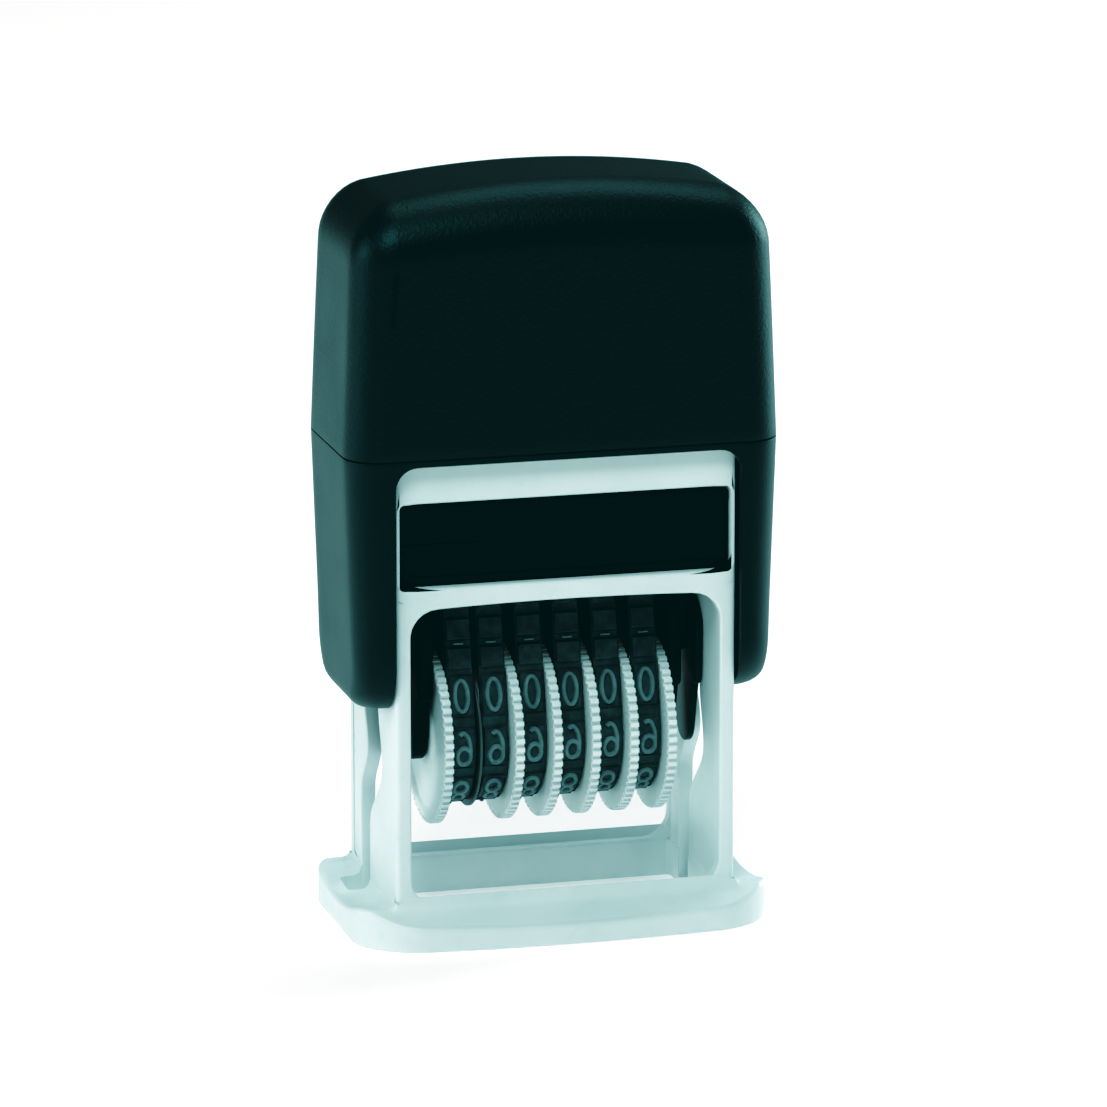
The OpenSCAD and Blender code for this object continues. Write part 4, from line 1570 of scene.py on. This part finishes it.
@dataclass
class NumberBand:
    """One rubber band with its raised tiles, characters and grip blocks."""

    order: int
    x: float
    path: BandPath = field(default_factory=BandPath)
    lettering: Lettering = field(default_factory=Lettering)
    half_width: float = 1.5
    inner: float = -0.5
    skin: float = 0.14
    tile: float = 0.3
    face: float = 0.59
    rim_half: tuple[float, float] = (1.26, 2.16)
    signs: tuple[Sign, ...] = (Sign.ONE, Sign.BLANK, Sign.DASH, Sign.ZERO, Sign.NINE, Sign.EIGHT, Sign.SEVEN,
                               Sign.SIX, Sign.FIVE, Sign.FOUR, Sign.THREE, Sign.TWO)

    def ribbon(self, mould: Mould) -> None:
        """Adds the band's body: a rounded section carried along the path.

        Args:
            mould: the mould to add to.
        """
        w = self.half_width
        section = rounded_corners([(-w, self.inner), (w, self.inner), (w, self.skin), (-w, self.skin)], 0.14)
        along = np.linspace(0, self.path.length, 288, endpoint=False)[:, None]
        mould.grid(self.path.place(along, self.x + section[None, :, 0], section[None, :, 1]), along=True)

    def pad(self, mould: Mould, centre: float, half_length: float, half_width: float, low: float, high: float,
            edge: float = 0.09) -> None:
        """Adds a raised pad: a bevelled section carried along the path, sinking into the band at its ends.

        Args:
            mould: the mould to add to.
            centre: place of its middle along the band.
            half_length: half its length.
            half_width: half its width.
            low: height of its foot over the cord line.
            high: height of its top.
            edge: size of its bevels.
        """
        w = half_width
        x = np.array([-w, -w, -w + edge, 0, w - edge, w, w])
        up = np.array([0, 1 - edge / (high - low), 1, 1, 1, 1 - edge / (high - low), 0])
        inner = np.linspace(-half_length + edge, half_length - edge, 11)
        along = np.concatenate([[-half_length, -half_length], inner, [half_length, half_length]])
        limit = np.concatenate([[0, 1 - edge / (high - low)], np.ones(11), [1 - edge / (high - low), 0]])
        height = low + (high - low) * np.minimum(up[None], limit[:, None])
        mould.grid(self.path.place(centre + along[:, None], self.x + x[None], height))

    def border(self) -> Array:
        """Line of a tile's raised rim: a box with cut corners, its long sides divided to follow the band.

        Returns:
            Points across and along the tile.
        """
        across, along = self.rim_half
        corners = rounded_corners([(-across, -along), (across, -along), (across, along), (-across, along)], 0.25)
        line = []
        for index, steps in enumerate((6, 10, 6, 10)):
            corner = corners[4 * index:4 * index + 4]
            following = corners[(4 * index + 4) % len(corners)]
            line += [corner, np.linspace(corner[3], following, steps)[1:-1]]
        return np.concatenate(line)

    def stroke(self, mould: Mould, points: Array, closed: bool, centre: float, width: float, top: float) -> None:
        """Adds one raised stroke: a trapezium section carried along the stroke's line, laid on the band.

        Args:
            mould: the mould to add to.
            points: the stroke's line, across and up the character.
            closed: whether the stroke is a ring.
            centre: place of the character along the band.
            width: width of the stroke.
            top: height of the stroke's top over the cord line.
        """
        if closed:
            tangent = np.roll(points, -1, axis=0) - np.roll(points, 1, axis=0)
        else:
            points = np.concatenate([points[:1] - (points[1] - points[0]) * 0.01, points])
            tangent = np.gradient(points, axis=0)
        tangent /= np.maximum(np.linalg.norm(tangent, axis=1, keepdims=True), 1e-9)
        aside = np.stack([tangent[:, 1], -tangent[:, 0]], axis=1)
        foot = self.tile - 0.05
        across = np.array([-1.2, -0.85, -0.6, 0.6, 0.85, 1.2]) * width / 2
        height = np.array([foot, top - 0.06, top, top, top - 0.06, foot])
        flat = points[:, None] + aside[:, None] * across[None, :, None]
        body = self.path.place(centre + flat[..., 1], self.x + flat[..., 0], height[None])
        mould.grid(body, along=closed)

    def build(self, shop: Workshop) -> None:
        """Builds the band with its tiles, and its characters as a second piece.

        Args:
            shop: dresses and fixes the pieces.
        """
        node = f"number_band_{self.order}"
        band = Mould(f"{node}_rubber")
        raised = Mould(f"{node}_type")
        self.ribbon(band)
        border = self.border()
        for station, sign in enumerate(self.signs):
            centre = station * self.path.pitch
            if sign is Sign.DASH:
                for way in (-1, 1):
                    self.pad(band, centre + way * 1.6, 1.12, 1.36, 0.0, 0.57)
                self.pad(band, centre, 0.45, 1.36, 0.0, 0.22)
                self.pad(raised, centre, 0.13, 0.55, 0.1, 0.46)
                continue
            self.pad(band, centre, 2.3, 1.38, 0.0, self.tile)
            if sign is Sign.BLANK:
                self.pad(band, centre, 2.0, 1.2, 0.1, 0.55)
            else:
                self.stroke(band, border, True, centre, 0.13, self.tile + 0.1)
            for points, closed in self.lettering.strokes(sign):
                self.stroke(raised, points, closed, centre, self.lettering.stroke, self.face)
        shop.fit(band.cast(38), BAND_RUBBER, "print_unit", node)
        shop.fit(raised.cast(38), TYPE_RUBBER, "print_unit", node)


@dataclass
class NumberWheel:
    """One white wheel: drum under the band and a knurled rim beside it."""

    order: int
    x: float
    side: int
    radius: float = 10.0
    knurls: int = 64
    depth: float = 0.48
    drum: float = 6.8
    bore: float = 1.55

    def build(self, shop: Workshop) -> None:
        """Builds the wheel as two turned surfaces: the drum with its bore, and the rim whose teeth are cut by a
        trapezium wave in the angle.

        Args:
            shop: dresses and fixes the piece.
        """
        node = f"number_wheel_{self.order}"
        mould = Mould(f"{node}_body")
        rim_in = self.x + self.side * 1.67
        rim_out = self.x + self.side * 2.67
        far = self.x - self.side * 1.5
        drum = rounded_corners([(far, self.bore), (rim_in, self.bore), (rim_in, self.drum), (far, self.drum)], 0.1)
        mould.turned(drum, WHEEL_AXIS, 80)
        dish = self.x + self.side * 2.35
        rim = [(rim_in, self.bore), (rim_out, self.bore), (rim_out, 3.4), (dish, 3.9), (dish, 8.4), (rim_out, 9.0),
               (rim_out, self.radius), (rim_in, self.radius)]
        step = 2 * np.pi / self.knurls
        fractions = np.array([-0.34, -0.26, 0.2, 0.28])
        teeth = np.array([0.0, 1.0, 1.0, 0.0])
        section = rounded_corners(rim, 0.12)
        turn = (np.arange(self.knurls)[:, None] + fractions[None]).ravel() * step
        cut = np.tile(self.depth * (1 - teeth), self.knurls)
        near_top = np.clip((section[:, 1] - (self.radius - 0.5)) / 0.5, 0, 1)[:, None]
        reach = section[:, 1:] - cut[None] * near_top
        points = Along.X.place(WHEEL_AXIS[1] + reach * np.cos(turn), WHEEL_AXIS[2] + reach * np.sin(turn),
                               section[:, :1])
        mould.grid(points, along=True)
        shop.fit(mould.cast(30), WHEEL_WHITE, f"wheel_{self.order}", node)


@dataclass
class PrintUnit:
    """The flipping unit: cheeks, anvil, rods, cranks, spacer, and the wheels and bands between the cheeks."""

    pitch: float = 4.335
    cheek_in: float = 13.35
    cheek_out: float = 14.95
    crank_in: float = 16.55
    crank_out: float = 17.3
    pin_out: float = 18.9
    crank_throw: float = 2.2
    flank: float = 5.3
    waist: float = 25.5
    tip_radius: float = 2.75
    shaft_radius: float = 1.5
    tie_radius: float = 1.0

    def band_x(self, order: int) -> float:
        """X of a band's middle: the first stands apart, the others are evenly spaced.

        Args:
            order: number of the band, from 1.

        Returns:
            X in millimetres.
        """
        return -10.5 if order == 1 else -6.83 + self.pitch * (order - 2)

    def side_outline(self, shoulder: float, top: float) -> Array:
        """Outline shared by cheeks and crank plates: round under the wheel shaft, waisted, narrower at the top.

        Args:
            shoulder: height at which it starts to narrow.
            top: height of its top.

        Returns:
            Points across depth and height.
        """
        y, z = WHEEL_AXIS[1], WHEEL_AXIS[2]
        wide, waist = self.flank, self.waist
        tip = arc((y, z), self.tip_radius, 188, 352, 14)
        upper = rounded_corners([(y + wide, waist), (y + wide, shoulder), (y + 3.0, top), (y - 3.0, top),
                                 (y - wide, shoulder), (y - wide, waist)], 1.2, 5)
        return np.concatenate([tip, upper])

    def cheeks(self, shop: Workshop) -> None:
        """Side plates: a waisted outline that rounds under the wheel shaft, with edges rounded all round.

        Args:
            shop: dresses and fixes the pieces.
        """
        outline = self.side_outline(35.0, 39.6)
        for side, name in ((-1, "left"), (1, "right")):
            x = sorted((side * self.cheek_in, side * self.cheek_out))
            plate = Mould(f"cheek_{name}_plate").plate(outline, x[0], x[1], Along.X, 0.3)
            shop.fit(plate.cast(30), UNIT_BLACK, "print_unit", f"cheek_{name}")

    def rods(self, shop: Workshop) -> None:
        """Anvil, tie rod and wheel shaft as bars, and the cranks: a flat plate between a journal and a pin.

        Args:
            shop: dresses and fixes the pieces.
        """
        y = WHEEL_AXIS[1]
        z = WHEEL_AXIS[2] + 18.84
        c, o = self.cheek_in, self.cheek_out
        bar = rounded_corners([(y - 2.35, z - 6), (y + 2.35, z - 6), (y + 2.35, z + 0.75), (y - 2.35, z + 0.75)],
                              1.0, 6)
        anvil = Mould("anvil_bar").plate(bar, -c, c, Along.X, 0.1)
        shop.fit(anvil.cast(30), UNIT_BLACK, "print_unit", "anvil")

        def rod(low: float, high: float, radius: float, chamfer: float = 0.15) -> Array:
            """Profile of a round bar with rounded ends."""
            return np.array([[low, 0.005], [low, radius - chamfer], [low + chamfer * 0.4, radius - chamfer * 0.2],
                             [low + chamfer, radius], [high - chamfer, radius],
                             [high - chamfer * 0.4, radius - chamfer * 0.2], [high, radius - chamfer], [high, 0.005]])

        low, high = span("tie_rod")
        tie = Mould("tie_rod_bar").turned(rod(-c, c, self.tie_radius), (low + high) / 2, 48)
        shop.fit(tie.cast(30), UNIT_BLACK, "print_unit", "tie_rod")
        shaft = Mould("wheel_shaft_bar").turned(rod(-o, o, self.shaft_radius), WHEEL_AXIS, 56)
        shop.fit(shaft.cast(30), ROD_STEEL, "print_unit", "wheel_shaft")
        outline = self.side_outline(33.0, 35.0)
        for side, name in ((-1, "left"), (1, "right")):
            crank = Mould(f"flip_crank_{name}_body")
            throw = PIVOT + np.array([0, -self.crank_throw, 0])
            x = sorted((side * self.crank_in, side * self.crank_out))
            crank.plate(outline, x[0], x[1], Along.X, 0.18)
            for ends, radius, centre in (((c, 16.6), self.shaft_radius, PIVOT), ((17.25, self.pin_out), 0.9, throw)):
                low, high = sorted((side * ends[0], side * ends[1]))
                crank.turned(rod(low, high, radius), centre, 56)
            shop.fit(crank.cast(30), YOKE_BLACK, "print_unit", f"flip_crank_{name}")

    def spacer(self, shop: Workshop) -> None:
        """Thin disc between the first two bands, with a rolled edge; its white plastic is coloured dark grey as painted
        shade.

        Args:
            shop: dresses and fixes the piece.
        """
        x = (self.band_x(1) + self.band_x(2)) / 2
        profile = rounded_corners([(x - 0.15, 1.5), (x + 0.15, 1.5), (x + 0.15, 8.3), (x - 0.15, 8.3)], 0.07)
        disc = Mould("spacer_disc").turned(profile, WHEEL_AXIS, 120)
        shop.fit(disc.cast(30), SPACER_PAINTED_SHADE_GREY, "print_unit", "centre_spacer")

    def build(self, shop: Workshop) -> None:
        """Builds the whole unit.

        Args:
            shop: dresses and fixes the pieces.
        """
        self.cheeks(shop)
        self.rods(shop)
        self.spacer(shop)
        for order in range(1, 7):
            x = self.band_x(order)
            NumberWheel(order, x, -1 if order == 1 else 1).build(shop)
            NumberBand(order, x).build(shop)


# ---------------------------------------------------------------------------------------------------------------
# Studio
# ---------------------------------------------------------------------------------------------------------------


@dataclass
class Studio:
    """Camera, lights and floor."""

    azimuth: float = 15.0
    elevation: float = 13.7
    distance: float = 847.7
    lens: float = 250.2
    aim_right: float = 1.38
    aim_up: float = 40.6

    def camera(self) -> None:
        """Puts the camera to the front left of the stamp, looking slightly down."""
        a, e = math.radians(self.azimuth), math.radians(self.elevation)
        away = Vector((-math.sin(a) * math.cos(e), -math.cos(a) * math.cos(e), math.sin(e)))
        right = Vector((math.cos(a), -math.sin(a), 0.0))
        target = (Vector((0.0, 0.0, self.aim_up)) + right * self.aim_right) * MM
        data = bpy.data.cameras.new("camera")
        data.lens, data.sensor_width, data.clip_end = self.lens, 36.0, 20.0
        camera = bpy.data.objects.new("camera", data)
        camera.location = target + away * self.distance * MM
        look = (-away).to_track_quat("-Z", "Y")
        camera.rotation_euler = look.to_euler()
        bpy.context.collection.objects.link(camera)
        bpy.context.scene.camera = camera

    def lamp(self, name: str, place: tuple[float, float, float], size: tuple[float, float], power: float,
             colour: tuple[float, float, float]) -> None:
        """Adds a rectangular softbox that faces the stamp.

        Args:
            name: name of the light.
            place: its place in metres.
            size: its width and height in metres.
            power: its power in watts.
            colour: its colour.
        """
        data = bpy.data.lights.new(name, "AREA")
        data.shape, data.size, data.size_y = "RECTANGLE", size[0], size[1]
        data.energy, data.color = power, colour
        lamp = bpy.data.objects.new(name, data)
        lamp.location = place
        lamp.rotation_euler = (Vector((0, 0, 0.04)) - Vector(place)).to_track_quat("-Z", "Y").to_euler()
        bpy.context.collection.objects.link(lamp)

    def floor(self) -> None:
        """Lays a plain pale floor under the stamp."""
        mould = Mould("studio_floor")
        mould.block((-9000.0, -9000.0, -3.0), (9000.0, 9000.0, -0.02), 0.5)
        piece = mould.cast()
        recipe = Recipe("floor_paper")
        fleck = recipe.noise(60.0, 2.0)
        piece.data.materials.append(recipe.finish(
            Base_Color=recipe.mix(fleck * 0.3, (0.86, 0.84, 0.84, 1), (0.82, 0.80, 0.80, 1)),
            Roughness=0.9, Specular_IOR_Level=0.1, Emission_Color=(1.0, 0.99, 0.985, 1.0),
            Emission_Strength=0.37))

    def build(self) -> None:
        """Sets up the camera, world, lights and floor."""
        self.camera()
        scene = bpy.context.scene
        self.grade(scene.view_settings)
        world = bpy.data.worlds.new("studio")
        world.use_nodes = True
        sky = world.node_tree.nodes["Background"]
        sky.inputs["Color"].default_value = (0.92, 1.0, 1.0, 1.0)
        sky.inputs["Strength"].default_value = 0.18
        scene.world = world
        white = (1.0, 1.0, 1.0)
        self.lamp("left_box", (-0.95, 0.0, 0.35), (0.5, 0.5), 3.3, white)
        self.lamp("front_box", (-0.3, -0.75, 1.15), (0.55, 0.45), 9.0, white)
        self.lamp("top_box", (0.25, 0.35, 0.95), (0.6, 0.4), 2.4, white)
        self.lamp("right_strip", (0.85, 0.35, 0.25), (0.25, 0.5), 6.0, white)
        self.floor()

    def grade(self, view: bpy.types.ColorManagedViewSettings) -> None:
        """Gives the picture its teal duotone: red falls as the power 1.5 of the light, and green and blue have a
        soft toe over a slightly lifted black.

        Args:
            view: the scene's view settings.
        """
        view.view_transform = "Standard"
        view.use_curve_mapping = True
        curves = view.curve_mapping.curves
        for place in (0.02, 0.08, 0.2, 0.45, 0.7):
            curves[0].points.new(place, place**1.5)
        for index in (1, 2):
            curves[index].points[0].location = (0.0, 0.006)
            for place, level in ((0.015, 0.007), (0.035, 0.0125), (0.065, 0.042), (0.11, 0.1), (0.4, 0.4)):
                curves[index].points.new(place, level)
        view.curve_mapping.update()


def main() -> None:
    """Builds the stamp's sub-assemblies in order, then the studio."""
    logging.basicConfig(level=logging.INFO, format="%(name)s: %(message)s")
    shop = Workshop()
    for part in (Base(), Cartridge(), Cap(), Drive(), PrintUnit()):
        part.build(shop)
        LOG.info("%s done", type(part).__name__)
    Studio().build()


if __name__ == "__main__":
    main()
